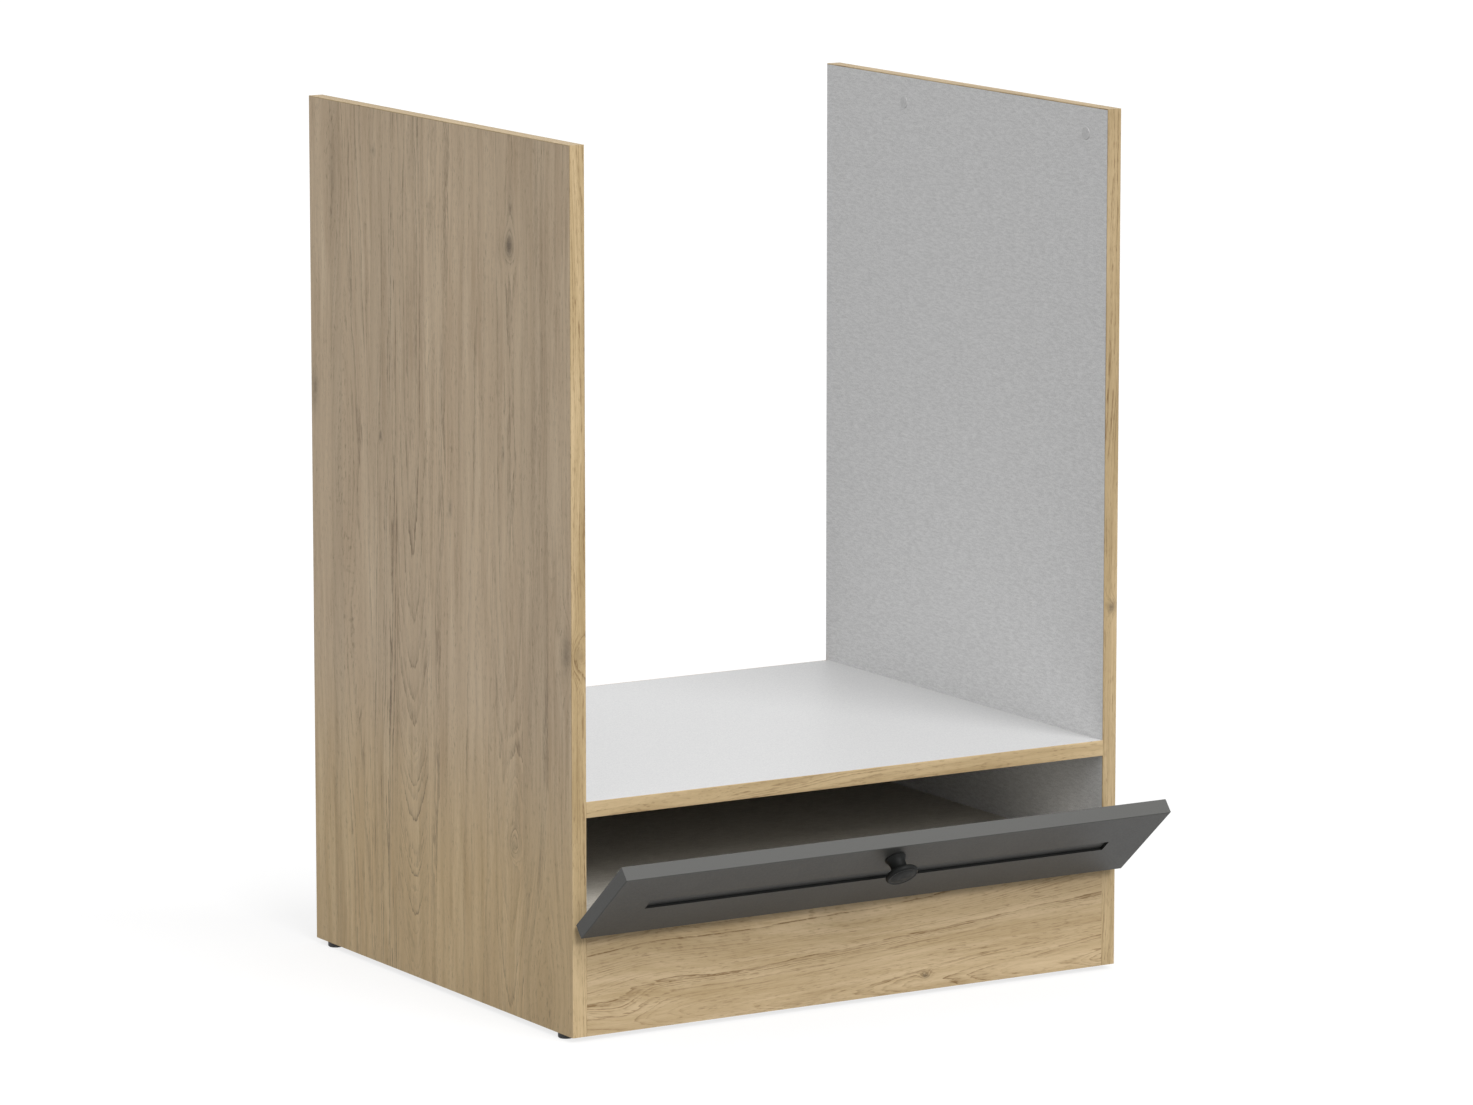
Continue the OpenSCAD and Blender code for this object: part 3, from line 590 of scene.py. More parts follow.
# Steel strip, rolled, punched and nickel-plated: a warm bright metal, lined every 0.6 mm
HINGE_STEEL = Plain(
    "nickelled_hinge_steel", "#cfcfcd", "#b4b4b3", 1800.0, (0.05, 1, 1), metallic=1.0, roughness=0.3
)
# Beech rod, turned and fluted: pale, dull, with a straight grain of 1.4 mm
BEECH = Plain("beech_dowel", "#d2b07c", "#bd9865", 700.0, (0.06, 1, 1), roughness=0.75, relief=0.4)


# ---------------------------------------------------------------- the oak's figure


def drift(across: np.ndarray, along: np.ndarray, width: float, length: float, seed: int) -> np.ndarray:
    """Smooth random field from -1 to 1.

    Random numbers stand on a lattice of that width and length. Between them the value is
    the mean of the four nearest, weighted by 3t^2 - 2t^3 of the distance on either side.

    Args:
        across: millimetres across the grain.
        along: millimetres along the grain.
        width: lattice width in mm.
        length: lattice length in mm.
        seed: seed of the random numbers.

    Returns:
        The field at each point.
    """
    size = 64
    table = np.random.default_rng(seed).uniform(-1, 1, (size, size))
    a, b = across / width + 1000.0, along / length + 1000.0
    i, j = np.floor(a).astype(int), np.floor(b).astype(int)
    f, g = a - i, b - j
    f, g = f * f * (3 - 2 * f), g * g * (3 - 2 * g)
    i0, i1, j0, j1 = i % size, (i + 1) % size, j % size, (j + 1) % size
    low = table[i0, j0] * (1 - f) + table[i1, j0] * f
    high = table[i0, j1] * (1 - f) + table[i1, j1] * f
    return low * (1 - g) + high * g


@dataclass(frozen=True)
class Knot:
    """A knot in the decor, in mm on its face: rings bulge round it and its heart is dark."""

    across: float
    along: float
    half_width: float
    half_length: float
    dark: float
    push: float  # rings that it moves at its middle


@dataclass(frozen=True)
class Lane:
    """A strip of the decor that was cut from one plank.

    Its rings are cones round a pith line that lies behind the face, so a tapered one
    shows as nested arches and one far from the pith as straight lines.
    """

    start: float
    pith: float
    depth: float
    taper: float
    pitch: float
    tone: float
    contrast: float
    arch_end: float = 1e4  # where along the grain the taper ends and the lines run straight


@dataclass(frozen=True)
class OakFigure:
    """Figure of one oak face: lanes side by side across the grain, with knots over them."""

    lanes: tuple[Lane, ...]
    knots: tuple[Knot, ...] = ()
    seed: int = 1
    wave: float = 3.0  # mm that the grain wanders
    ease: float = 60.0  # mm over which a taper ends

    def read(self, lane: Lane, across: np.ndarray, along: np.ndarray) -> tuple[np.ndarray, np.ndarray]:
        """Works out the figure on a grid.

        Ring number = (distance from the pith line + taper x length + drift) / pitch, where the
        length counts only before arch_end and eases out there as log(1 + exp), plus
        each knot's push times the bell curve of the distance from its middle. The fibre
        bends away from a knot by the offset times the same bell curve.

        Args:
            lane: the lane that the points lie in.
            across: millimetres across the grain.
            along: millimetres along the grain.

        Returns:
            The attributes "figure" and "shade", three numbers for each point.
        """
        bent = across + self.wave * drift(across, along, 90, 210, self.seed)
        bent = bent + 0.4 * self.wave * drift(across, along, 25, 70, self.seed + 1)
        radius = np.sqrt((bent - lane.pith) ** 2 + lane.depth**2)
        tapered = -self.ease * np.logaddexp(0.0, (lane.arch_end - along) / self.ease)
        flow = radius + lane.taper * tapered
        flow = flow + 2.0 * drift(across, along, 60, 120, self.seed + 2)
        ring = flow / lane.pitch
        fibre = bent.copy()
        dark = np.zeros_like(across)
        for knot in self.knots:
            off_a, off_l = across - knot.across, along - knot.along
            near = (off_a / knot.half_width) ** 2 + (off_l / knot.half_length) ** 2
            ring = ring + knot.push * np.exp(-near / 2.5)
            fibre = fibre - 0.75 * off_a * np.exp(-near / 4)
            dark = dark + knot.dark * np.exp(-near * 1.3)
        tone = lane.tone * (1 + 0.025 * drift(across, along, 40, 300, self.seed + 3))
        figure = np.stack([ring, fibre + 37.0 * (self.seed % 7), along], axis=-1)
        shade = np.stack([tone, np.clip(dark, 0, 1), np.full_like(across, lane.contrast)], axis=-1)
        return figure, shade


# ---------------------------------------------------------------- meshes


@dataclass
class Facets:
    """Points, faces and what each face corner carries; several make one piece."""

    points: np.ndarray  # n x 3, in metres
    corners: np.ndarray  # the point at each corner, face after face
    sizes: np.ndarray  # corners of each face
    slots: np.ndarray  # material slot of each face
    figure: np.ndarray  # the oak's figure at each point
    shade: np.ndarray  # the oak's shade at each point

    def flipped(self) -> "Facets":
        """The same facets with every face turned round; all have the same number of corners."""
        turned = self.corners.reshape(len(self.sizes), -1)[:, ::-1].ravel()
        return Facets(self.points, turned, self.sizes, self.slots, self.figure, self.shade)


def facets_of(
    points: np.ndarray, faces: np.ndarray, slots: np.ndarray | int = 0, oak: tuple[np.ndarray, np.ndarray] | None = None
) -> Facets:
    """Makes facets of faces that all have the same number of corners.

    Args:
        points: n x 3, in metres.
        faces: faces x corners, numbers of points.
        slots: material slot of each face, or one for all.
        oak: the oak's figure and shade at each point.

    Returns:
        The facets.
    """
    figure, shade = oak or (np.zeros_like(points), np.zeros_like(points))
    return Facets(
        points,
        faces.ravel(),
        np.full(len(faces), faces.shape[1]),
        np.broadcast_to(slots, len(faces)),
        figure.reshape(-1, 3),
        shade.reshape(-1, 3),
    )


def grid_facets(
    points: np.ndarray,
    outward: Sequence[float] | None = None,
    oak: tuple[np.ndarray, np.ndarray] | None = None,
    wrap: bool = False,
) -> Facets:
    """Joins a grid of points with quads.

    Args:
        points: rows x columns x 3, in metres.
        outward: direction that the faces look along, or None to keep the grid's own order.
        oak: the oak's figure and shade at each point.
        wrap: the last column joins the first.

    Returns:
        The facets.
    """
    rows, columns = points.shape[:2]
    index = np.arange(rows * columns).reshape(rows, columns)
    if wrap:
        index = np.concatenate([index, index[:, :1]], axis=1)
    quads = np.stack([index[:-1, :-1], index[:-1, 1:], index[1:, 1:], index[1:, :-1]], axis=-1).reshape(-1, 4)
    found = facets_of(points.reshape(-1, 3), quads, 0, oak)
    if outward is not None:
        normal = np.cross(points[0, 1] - points[0, 0], points[1, 0] - points[0, 0])
        if np.dot(normal, outward) < 0:
            found = found.flipped()
    return found


def split_edge(start: np.ndarray, end: np.ndarray, seam: np.ndarray) -> np.ndarray:
    """Finds the seam's points strictly between two others, in order.

    Args:
        start: one end of the edge.
        end: the other end.
        seam: points that may lie on it, n x 3.

    Returns:
        Those on the edge, from start to end, each once.
    """
    run = end - start
    share = (seam - start) @ run / (run @ run)
    off = np.linalg.norm(seam - start - share[:, None] * run, axis=1)
    margin = ON_EDGE / np.linalg.norm(run)
    between = seam[(off < ON_EDGE) & (share > margin) & (share < 1 - margin)]
    order = (between - start) @ run
    _, first = np.unique(np.round(order, 12), return_index=True)
    return between[first]


def node_facets(
    node: str, drop_axis: int, drop_value: float, seam: np.ndarray, slot_of: Callable[[np.ndarray], np.ndarray]
) -> Facets:
    """Copies a CAD node's triangles, without those on one plane.

    A kept triangle with an edge in that plane is fanned out to the seam's points on the
    edge, so that it meets the new face there without a gap.

    Args:
        node: name of the node.
        drop_axis: axis that the plane stands square to.
        drop_value: where the plane cuts the axis, in metres.
        seam: points of the new face that takes the plane's place.
        slot_of: gives each triangle's material slot from its corners (triangles x 3 x 3).

    Returns:
        The facets.
    """
    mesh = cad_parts[node].data
    points = np.empty(len(mesh.vertices) * 3)
    mesh.vertices.foreach_get("co", points)
    points = points.reshape(-1, 3)
    mesh.calc_loop_triangles()
    corners = np.empty(len(mesh.loop_triangles) * 3, dtype=np.int32)
    mesh.loop_triangles.foreach_get("vertices", corners)
    solid = points[corners.reshape(-1, 3)]
    on_plane = np.abs(solid[:, :, drop_axis] - drop_value) < IN_PLANE
    edged = on_plane.sum(axis=1) == 2
    found = [solid[~on_plane.all(axis=1) & ~edged]]
    for triangle, on in zip(solid[edged], on_plane[edged]):
        tip, start, end = np.roll(triangle, -int(np.argmin(on)), axis=0)
        line = np.concatenate([[start], split_edge(start, end, seam), [end]])
        found.append(np.stack([np.broadcast_to(tip, (len(line) - 1, 3)), line[:-1], line[1:]], axis=1))
    solid = np.concatenate(found)
    return facets_of(solid.reshape(-1, 3), np.arange(len(solid) * 3).reshape(-1, 3), slot_of(solid))


def weld(points: np.ndarray, corners: np.ndarray, sizes: np.ndarray) -> tuple[np.ndarray, np.ndarray, np.ndarray]:
    """Joins points that coincide, so that seams and poles close.

    Args:
        points: n x 3, in metres.
        corners: the point at each corner, face after face.
        sizes: corners of each face.

    Returns:
        The points left, their number at each corner, and which corners to keep: one that
        repeats the corner before it in its face goes.
    """
    _, first, again = np.unique(np.round(points, SAME_POINT), axis=0, return_index=True, return_inverse=True)
    corners = again.ravel()[corners]
    starts = np.cumsum(sizes) - sizes
    before = np.arange(len(corners)) - 1
    before[starts] = starts + sizes - 1
    return points[first], corners, corners != corners[before]


def make_piece(
    name: str,
    parts: Sequence[Facets],
    finishes: Sequence[Finish],
    body: Body,
    replaces: Sequence[str] = (),
    smooth_degrees: float | None = None,
) -> bpy.types.Object:
    """Puts facets into one mesh object, dresses it, sets it on its body and hides the CAD nodes that it stands for.

    Args:
        name: name of the piece.
        parts: its facets.
        finishes: its materials, in the order of the facets' slots.
        body: the body that it rides on.
        replaces: CAD nodes that it stands for.
        smooth_degrees: angle under which edges are shaded smooth, or None for flat faces.

    Returns:
        The object.
    """
    shifts = np.cumsum([0, *(len(part.points) for part in parts)])
    loose = np.concatenate([part.corners + shift for part, shift in zip(parts, shifts)])
    sizes = np.concatenate([part.sizes for part in parts])
    points, corners, keep = weld(np.concatenate([part.points for part in parts]), loose, sizes)
    sizes = np.bincount(np.repeat(np.arange(len(sizes)), sizes)[keep], minlength=len(sizes))
    mesh = bpy.data.meshes.new(name)
    mesh.vertices.add(len(points))
    mesh.vertices.foreach_set("co", points.ravel())
    mesh.loops.add(int(keep.sum()))
    mesh.loops.foreach_set("vertex_index", corners[keep].astype(np.int32))
    mesh.polygons.add(len(sizes))
    mesh.polygons.foreach_set("loop_start", (np.cumsum(sizes) - sizes).astype(np.int32))
    mesh.polygons.foreach_set("material_index", np.concatenate([part.slots for part in parts]).astype(np.int32))
    mesh.update(calc_edges=True)
    for key in ("figure", "shade"):
        values = np.concatenate([getattr(part, key) for part in parts])
        if values.any():
            # On face corners, so that the figure may jump where two planks of the print meet
            mesh.attributes.new(key, "FLOAT_VECTOR", "CORNER").data.foreach_set("vector", values[loose][keep].ravel())
    if smooth_degrees is None:
        mesh.shade_flat()
    else:
        mesh.shade_smooth()
        mesh.set_sharp_from_angle(angle=math.radians(smooth_degrees))
    piece = bpy.data.objects.new(name, mesh)
    bpy.context.scene.collection.objects.link(piece)
    for finish in finishes:
        mesh.materials.append(finish.make())
    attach(piece, body.value)
    if replaces:
        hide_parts(*replaces)
    log.info("%s: %d faces on %s", name, len(mesh.polygons), body.value)
    return piece


def flap_to_room(points: np.ndarray) -> np.ndarray:
    """Turns points of the upright flap, in mm from its hinge axis, to their place at rest.

    Args:
        points: ... x 3, in mm.

    Returns:
        The points in metres in the row frame.
    """
    angle = math.radians(FLAP_OPEN)
    x, y, z = points[..., 0], points[..., 1], points[..., 2]
    turned = np.stack([x, y * math.cos(angle) - z * math.sin(angle), y * math.sin(angle) + z * math.cos(angle)], -1)
    return (turned + np.array([0.0, AXIS_Y, AXIS_Z])) * MM


def lathe(profile: np.ndarray, segments: int) -> np.ndarray:
    """Turns a profile round the Z axis.

    Point (i, j) = (r_i cos t_j, r_i sin t_j, h_i), with t_j in equal steps of a full turn.

    Args:
        profile: n x 2, radius and height.
        segments: steps in a turn.

    Returns:
        n x segments x 3 points.
    """
    turn = np.arange(segments) * (2 * math.pi / segments)
    radius, height = profile[:, :1], profile[:, 1:]
    return np.stack(
        [radius * np.cos(turn), radius * np.sin(turn), np.broadcast_to(height, (len(profile), segments))], -1
    )


def arc(middle: tuple[float, float], radius: float, start: float, end: float, steps: int) -> np.ndarray:
    """Points on an arc: middle + radius x (cos t, sin t), t in degrees from start to end."""
    turn = np.radians(np.linspace(start, end, steps))
    return np.stack([middle[0] + radius * np.cos(turn), middle[1] + radius * np.sin(turn)], -1)


# ---------------------------------------------------------------- boards and bands


@dataclass(frozen=True)
class Face:
    """A flat face: a point is origin + across x one axis + along x the other, in mm."""

    origin: tuple[float, float, float]
    across_axis: tuple[float, float, float]
    along_axis: tuple[float, float, float]
    outward: tuple[float, float, float]

    def points(self, across: np.ndarray, along: np.ndarray) -> np.ndarray:
        """Gives the points of a grid on the face, in metres."""
        place = (
            np.array(self.origin)
            + across[..., None] * np.array(self.across_axis)
            + along[..., None] * np.array(self.along_axis)
        )
        return place * MM


def oak_grid(
    face: Face, figure: OakFigure, across: tuple[float, float], along: tuple[float, float], cell: tuple[float, float]
) -> list[Facets]:
    """Covers a rectangle of a face with the oak figure, one grid for each lane.

    Args:
        face: the face.
        figure: the oak's figure.
        across: first and last millimetre across the grain.
        along: first and last millimetre along the grain.
        cell: size of a grid cell across and along.

    Returns:
        The facets of each lane.
    """
    starts = [lane.start for lane in figure.lanes[1:]]
    edges = [across[0], *[s for s in starts if across[0] < s < across[1]], across[1]]
    found = []
    for low, high in zip(edges[:-1], edges[1:]):
        lane = [n for n in figure.lanes if n.start <= (low + high) / 2][-1]
        columns = max(2, round((high - low) / cell[0]) + 1)
        rows = max(2, round((along[1] - along[0]) / cell[1]) + 1)
        a, b = np.meshgrid(np.linspace(low, high, columns), np.linspace(along[0], along[1], rows))
        found.append(grid_facets(face.points(a, b), face.outward, figure.read(lane, a, b)))
    return found


@dataclass(frozen=True)
class SidePanel:
    """A side panel: oak decor outside, white linen melamine inside, sawn edges behind and below."""

    hand: int
    figure: OakFigure
    half_width: float = HALF_WIDTH
    thickness: float = BOARD
    depth: tuple[float, float] = (1.0, 500.0)
    height: tuple[float, float] = (5.0, 829.0)
    cell: tuple[float, float] = (2.5, 4.0)

    def build(self) -> bpy.types.Object:
        """Builds the panel over its CAD node.

        Returns:
            The piece.
        """
        side = "left" if self.hand < 0 else "right"
        outer = self.hand * self.half_width
        inner = self.hand * (self.half_width - self.thickness)
        face = Face((outer, FRONT_PLANE, 0), (0, 1, 0), (0, 0, 1), (self.hand, 0, 0))

        def slot_of(corners: np.ndarray) -> np.ndarray:
            """White on the inner face, sawn edge elsewhere."""
            return np.where(np.all(np.abs(corners[:, :, 0] - inner * MM) < IN_PLANE, axis=1), 1, 2)

        parts = oak_grid(face, self.figure, self.depth, self.height, self.cell)
        seam = np.concatenate([part.points for part in parts])
        parts.append(node_facets(f"{side}_side_panel", 0, outer * MM, seam, slot_of))
        return make_piece(
            f"{side}_side_board", parts, (OAK, WHITE_LINEN, CHIPBOARD), Body.CARCASS,
            (f"{side}_side_panel",),
        )


@dataclass(frozen=True)
class Plinth:
    """The plinth: oak decor in front with its grain along the width, white behind."""

    figure: OakFigure
    half_width: float = HALF_WIDTH - BOARD
    height: tuple[float, float] = (5.0, 105.0)
    cell: tuple[float, float] = (2.0, 3.0)

    def build(self) -> bpy.types.Object:
        """Builds the board over its CAD node.

        Returns:
            The piece.
        """
        face = Face((0, FRONT_PLANE, 0), (0, 0, 1), (1, 0, 0), (0, -1, 0))

        def slot_of(corners: np.ndarray) -> np.ndarray:
            """White behind, sawn edges above and below."""
            rear = corners[:, :, 1].min(axis=1) > corners[:, :, 1].max() - IN_PLANE
            return np.where(rear, 1, 2)

        parts = oak_grid(face, self.figure, self.height, (-self.half_width, self.half_width), self.cell)
        seam = np.concatenate([part.points for part in parts])
        parts.append(node_facets("plinth_panel", 1, FRONT_PLANE * MM, seam, slot_of))
        return make_piece(
            "plinth_board", parts, (OAK_FRONT, WHITE_PEARL, CHIPBOARD), Body.CARCASS, ("plinth_panel",)
        )


@dataclass(frozen=True)
class OakBand:
    """An oak edge band: its section, flat behind and rounded at both corners, runs along a line."""

    node: str
    figure: OakFigure
    long_axis: int
    width_axis: int
    out_axis: int
    outward: int
    ease: float = 0.4  # mm, radius of the corners
    cell: float = 3.0  # mm between sections

    def section(self, width: float, thickness: float) -> np.ndarray:
        """Outline of the band: width along the first number, outward along the second."""
        r = self.ease
        flat = np.linspace(r, width - r, 7)[1:-1]
        face = np.stack([flat, np.full_like(flat, thickness)], -1)
        return np.concatenate([
            [[0.0, 0.0]],
            arc((r, thickness - r), r, 180, 90, 5),
            face,
            arc((width - r, thickness - r), r, 90, 0, 5),
            [[width, 0.0]],
        ])

    def build(self) -> bpy.types.Object:
        """Carries the section along the band and closes its ends.

        Returns:
            The piece.
        """
        low, high = (np.array(corner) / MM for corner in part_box(self.node))
        section = self.section(high[self.width_axis] - low[self.width_axis], high[self.out_axis] - low[self.out_axis])
        stations = np.linspace(
            low[self.long_axis], high[self.long_axis],
            round((high[self.long_axis] - low[self.long_axis]) / self.cell) + 1,
        )
        points = np.zeros((len(stations), len(section), 3))
        points[..., self.long_axis] = stations[:, None]
        points[..., self.width_axis] = low[self.width_axis] + section[:, 0]
        if self.outward > 0:
            points[..., self.out_axis] = low[self.out_axis] + section[:, 1]
        else:
            points[..., self.out_axis] = high[self.out_axis] - section[:, 1]
        offset = FRONT_PLANE if self.width_axis == 1 else 0.0
        across = points[..., self.width_axis] - offset
        along = points[..., self.long_axis] - (FRONT_PLANE if self.long_axis == 1 else 0.0)
        figure, shade = self.figure.read(self.figure.lanes[0], across, along)
        ring = np.arange(len(section))[None]
        parts = [
            grid_facets(points * MM, None, (figure, shade), wrap=True),
            facets_of(points[0] * MM, ring[:, ::-1], 0, (figure[0], shade[0])),
            facets_of(points[-1] * MM, ring, 0, (figure[-1], shade[-1])),
        ]
        # A face on the band's flat front tells whether the grid's order looks outward
        normal = np.cross(points[0, 5] - points[0, 4], points[1, 4] - points[0, 4])
        if normal[self.out_axis] * self.outward < 0:
            parts = [part.flipped() for part in parts]
        return make_piece(
            self.node.replace("_edge_band", "_oak_band"), parts, (OAK_EDGE,), Body.CARCASS,
            (self.node,), smooth_degrees=40,
        )


# ---------------------------------------------------------------- small turned pieces


@dataclass(frozen=True)
class Knob:
    """The round knob of the flap, turned: flared foot, narrow neck, and a head with a soft
    rim round a shallow dish that swells to a low dome."""

    length: float = 22.0
    head_r: float = 15.75
    head_t: float = 6.0
    neck_r: float = 7.7
    foot_r: float = 10.2
    face_y: float = -16.0
    height: float = 88.5
    segments: int = 96

    def profile(self) -> np.ndarray:
        """Radius and distance from the flap, from the foot's middle to the dome's middle."""
        under = self.length - 1.2 - self.head_t
        share = np.linspace(0, 1, 28)
        # Neck: the radius falls from foot to waist and rises to the head by powers of the distance
        waist = 0.52
        below = np.clip((waist - share) / waist, 0, 1) ** 2.4
        above = np.clip((share - waist) / (1 - waist), 0, 1) ** 2.6
        radius = self.neck_r + (self.foot_r - 0.6 - self.neck_r) * below + 2.2 * above
        neck = np.stack([radius, 2.2 + share * (under - 2.2)], -1)
        foot = np.concatenate([
            [[0.0, 0.0], [self.foot_r - 0.4, 0.0]],
            arc((self.foot_r - 0.6, 0.8), 0.6, -40, 60, 6),
        ])
        rim = arc((self.head_r - 2.4, under + 2.6), 2.4, -78, 70, 18)
        rim[:, 1] = under + 0.25 + (rim[:, 1] - rim[0, 1]) * (self.head_t - 0.35) / (rim[-1, 1] - rim[0, 1])
        dish_r = np.linspace(12.6, 0, 26)
        dish = under + self.head_t - 0.45 + 1.55 * (1 - (dish_r / 12.6) ** 2) - 0.15 * np.exp(-((dish_r - 12.2) ** 2) / 0.5)
        return np.concatenate([foot, neck, rim, np.stack([dish_r, dish], -1)])

    def build(self) -> bpy.types.Object:
        """Turns the profile and sets it on the flap.

        Returns:
            The piece.
        """
        profile = self.profile()
        turned = lathe(profile, self.segments)
        place = np.stack([turned[..., 0], self.face_y - turned[..., 2], self.height + turned[..., 1]], -1)
        facets = grid_facets(flap_to_room(place), None, wrap=True)
        return make_piece("turned_knob", [facets], (BLACK_CASTING,), Body.FLAP, ("knob",), 35)


@dataclass(frozen=True)
class CoverCaps:
    """The pair of push-in caps on a side's inner face: thin discs with a rounded rim."""

    hand: int
    inner: float = HALF_WIDTH - BOARD
    radius: float = 6.2
    rise: float = 0.95
    stem_r: float = 4.0
    stem_l: float = 8.9
    depths: tuple[float, float] = (37.0, 357.0)
    height: float = 804.0
    segments: int = 48

    def build(self) -> bpy.types.Object:
        """Turns both caps about the axes of their holes.

        Returns:
            The piece.
        """
        rim = arc((self.radius - 0.5, 0.35), 0.5, -20, 80, 8)
        dome_r = np.linspace(self.radius - 0.6, 0, 10)
        dome = np.stack([dome_r, 0.84 + (self.rise - 0.84) * (1 - (dome_r / self.radius) ** 2)], -1)
        stem = np.array([[0, -self.stem_l], [self.stem_r - 0.5, -self.stem_l], [self.stem_r, 0.5 - self.stem_l],
                         [self.stem_r, 0.0], [self.radius - 0.1, 0.0]])
        turned = lathe(np.concatenate([stem, rim, dome]), self.segments)
        parts = []
        for depth in self.depths:
            place = np.stack([
                self.hand * (self.inner - turned[..., 2]),
                FRONT_PLANE + depth + turned[..., 0] * self.hand,
                self.height - turned[..., 1],
            ], -1)
            parts.append(grid_facets(place * MM, None, wrap=True))
        side = "left" if self.hand < 0 else "right"
        return make_piece(
            f"{side}_push_caps", parts, (GREY_CAP,), Body.CARCASS, (f"{side}_cover_caps",), 35
        )


# ---------------------------------------------------------------- carried-over nodes


@dataclass(frozen=True)
class Fittings:
    """CAD nodes whose shape is right: they only get their finish."""

    finishes: tuple[tuple[Finish, str], ...] = (
        (WHITE_PEARL, "oven_shelf"),
        # floor panel: white linen with painted shade and painted warm bounce
        (WHITE_LINEN_FLOOR_SHADED, "floor_panel"),
        (WHITE_ABS, "floor_edge_band"),
        (HARDBOARD, "back_panel"),
        (BLACK_NYLON, "glide_front_left glide_front_right glide_rear_left glide_rear_right"),
        (ZINC, "shelf_cams floor_cams plinth_cams"),
        (ZINC, "carcass_hinge_screws flap_hinge_screws knob_screw"),
        (STEEL, "back_panel_nails shelf_cam_bolts floor_cam_bolts plinth_cam_bolts"),
        (BEECH, "shelf_dowels floor_dowels plinth_dowels flap_mitre_dowels"),
        (HINGE_STEEL, "left_hinge_carcass_leaf left_hinge_flap_leaf left_hinge_pin"),
        (HINGE_STEEL, "right_hinge_carcass_leaf right_hinge_flap_leaf right_hinge_pin"),
        (GRAPHITE_FRAME, "flap_top_rail flap_bottom_rail flap_left_stile flap_right_stile"),
        (GRAPHITE_PANEL, "flap_centre_panel"),
        (RUBBER, "flap_buffers"),
    )

    def dress(self) -> None:
        """Gives each node its material."""
        for finish, nodes in self.finishes:
            for node in nodes.split():
                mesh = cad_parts[node].data
                mesh.materials.clear()
                mesh.materials.append(finish.make())
                log.info("%s: %s", node, finish.name)


# ---------------------------------------------------------------- studio


@dataclass(frozen=True)
class Studio:
    """Camera at the photograph's angle, soft light, and a plain white floor."""

    focal_px: float = 7402.8
    yaw: float = 31.244
    pitch: float = 9.596
    position: tuple[float, float, float] = (-3.6137, -5.9501, 1.5802)
    sensor: float = 36.0
    sky: float = 0.42
    sky_tilt: tuple[float, float, float] = (-0.3, -0.5, 0.75)  # towards where it is brighter
    sun_share: float = 0.7
    sun_from: tuple[float, float, float] = (0.08, -0.74, 0.67)
    sun_spread: float = 40.0
    floor_reach: float = 60.0
    floor_bounce: float = 0.32  # share of the light that it throws back on the object
    floor_shade: float = 0.25  # how much the shadow darkens it, to the camera
    floor_glow: float = 0.78  # what it shows without light

    def camera(self) -> None:
        """Sets the camera."""
        data = bpy.data.cameras.new("camera")
        data.sensor_fit = "HORIZONTAL"
        data.sensor_width = self.sensor
        data.lens = self.focal_px * self.sensor / PHOTO_WIDTH
        data.clip_start, data.clip_end = 0.1, 200.0
        camera = bpy.data.objects.new("camera", data)
        camera.location = self.position
        camera.rotation_euler = Euler((math.radians(90 - self.pitch), 0, math.radians(-self.yaw)))
        bpy.context.scene.collection.objects.link(camera)
        bpy.context.scene.camera = camera

    def seen_directly(self, tree: bpy.types.NodeTree) -> Socket:
        """1 for rays from the camera, or by way of gloss or glass; 0 for light on the object."""
        rays = add_node(tree, "LightPath").node.outputs
        seen = add_node(tree, "Math", (rays["Is Camera Ray"], rays["Is Glossy Ray"]), operation="MAXIMUM")
        return add_node(tree, "Math", (seen, rays["Is Transmission Ray"]), operation="MAXIMUM")

    def light(self) -> None:
        """Sets the sky and one wide soft lamp from the front, above and to the right."""
        world = bpy.data.worlds.new("studio")
        bpy.context.scene.world = world
        tree = bare_tree(world)
        # Sky strength = sky x (1 + direction . tilt)
        towards = add_node(tree, "TexCoord", out="Generated")
        towards = add_node(tree, "VectorMath", (towards, self.sky_tilt), operation="DOT_PRODUCT", out="Value")
        strength = add_node(tree, "Math", (towards, self.sky, self.sky), operation="MULTIPLY_ADD", use_clamp=True)
        glow = add_node(tree, "Background", ((1, 1, 1, 1), strength))
        white = add_node(tree, "Background", ((1, 1, 1, 1), 1.0))
        mixed = add_node(tree, "MixShader", (self.seen_directly(tree), glow, white))
        add_node(tree, "OutputWorld", (mixed,))
        lamp = bpy.data.lights.new("soft_key", "SUN")
        lamp.energy = self.sun_share * math.pi
        lamp.angle = math.radians(self.sun_spread)
        key = bpy.data.objects.new("soft_key", lamp)
        key.rotation_mode = "QUATERNION"
        key.rotation_quaternion = Vector(self.sun_from).to_track_quat("Z", "Y")
        bpy.context.scene.collection.objects.link(key)

    def floor(self) -> None:
        """Lays a wide floor that reads as white and keeps a faint shadow."""
        step = np.linspace(-self.floor_reach, self.floor_reach, 13)
        x, y = np.meshgrid(step, step)
        facets = grid_facets(np.stack([x, y, np.zeros_like(x)], -1), (0, 0, 1))
        mesh = bpy.data.meshes.new("floor")
        mesh.from_pydata(facets.points, [], facets.corners.reshape(-1, 4).tolist())
        paint = bpy.data.materials.new("white_floor")
        tree = bare_tree(paint)
        bounce = add_node(tree, "BsdfDiffuse", ((self.floor_bounce,) * 3 + (1,), 0.0))
        shown = add_node(tree, "BsdfDiffuse", ((self.floor_shade,) * 3 + (1,), 0.0))
        glow = add_node(tree, "Emission", ((1, 1, 1, 1), self.floor_glow))
        shown = add_node(tree, "AddShader", (shown, glow))
        mixed = add_node(tree, "MixShader", (self.seen_directly(tree), bounce, shown))
        add_node(tree, "OutputMaterial", (mixed,))
        mesh.materials.append(paint)
        floor = bpy.data.objects.new("floor", mesh)
        bpy.context.scene.collection.objects.link(floor)


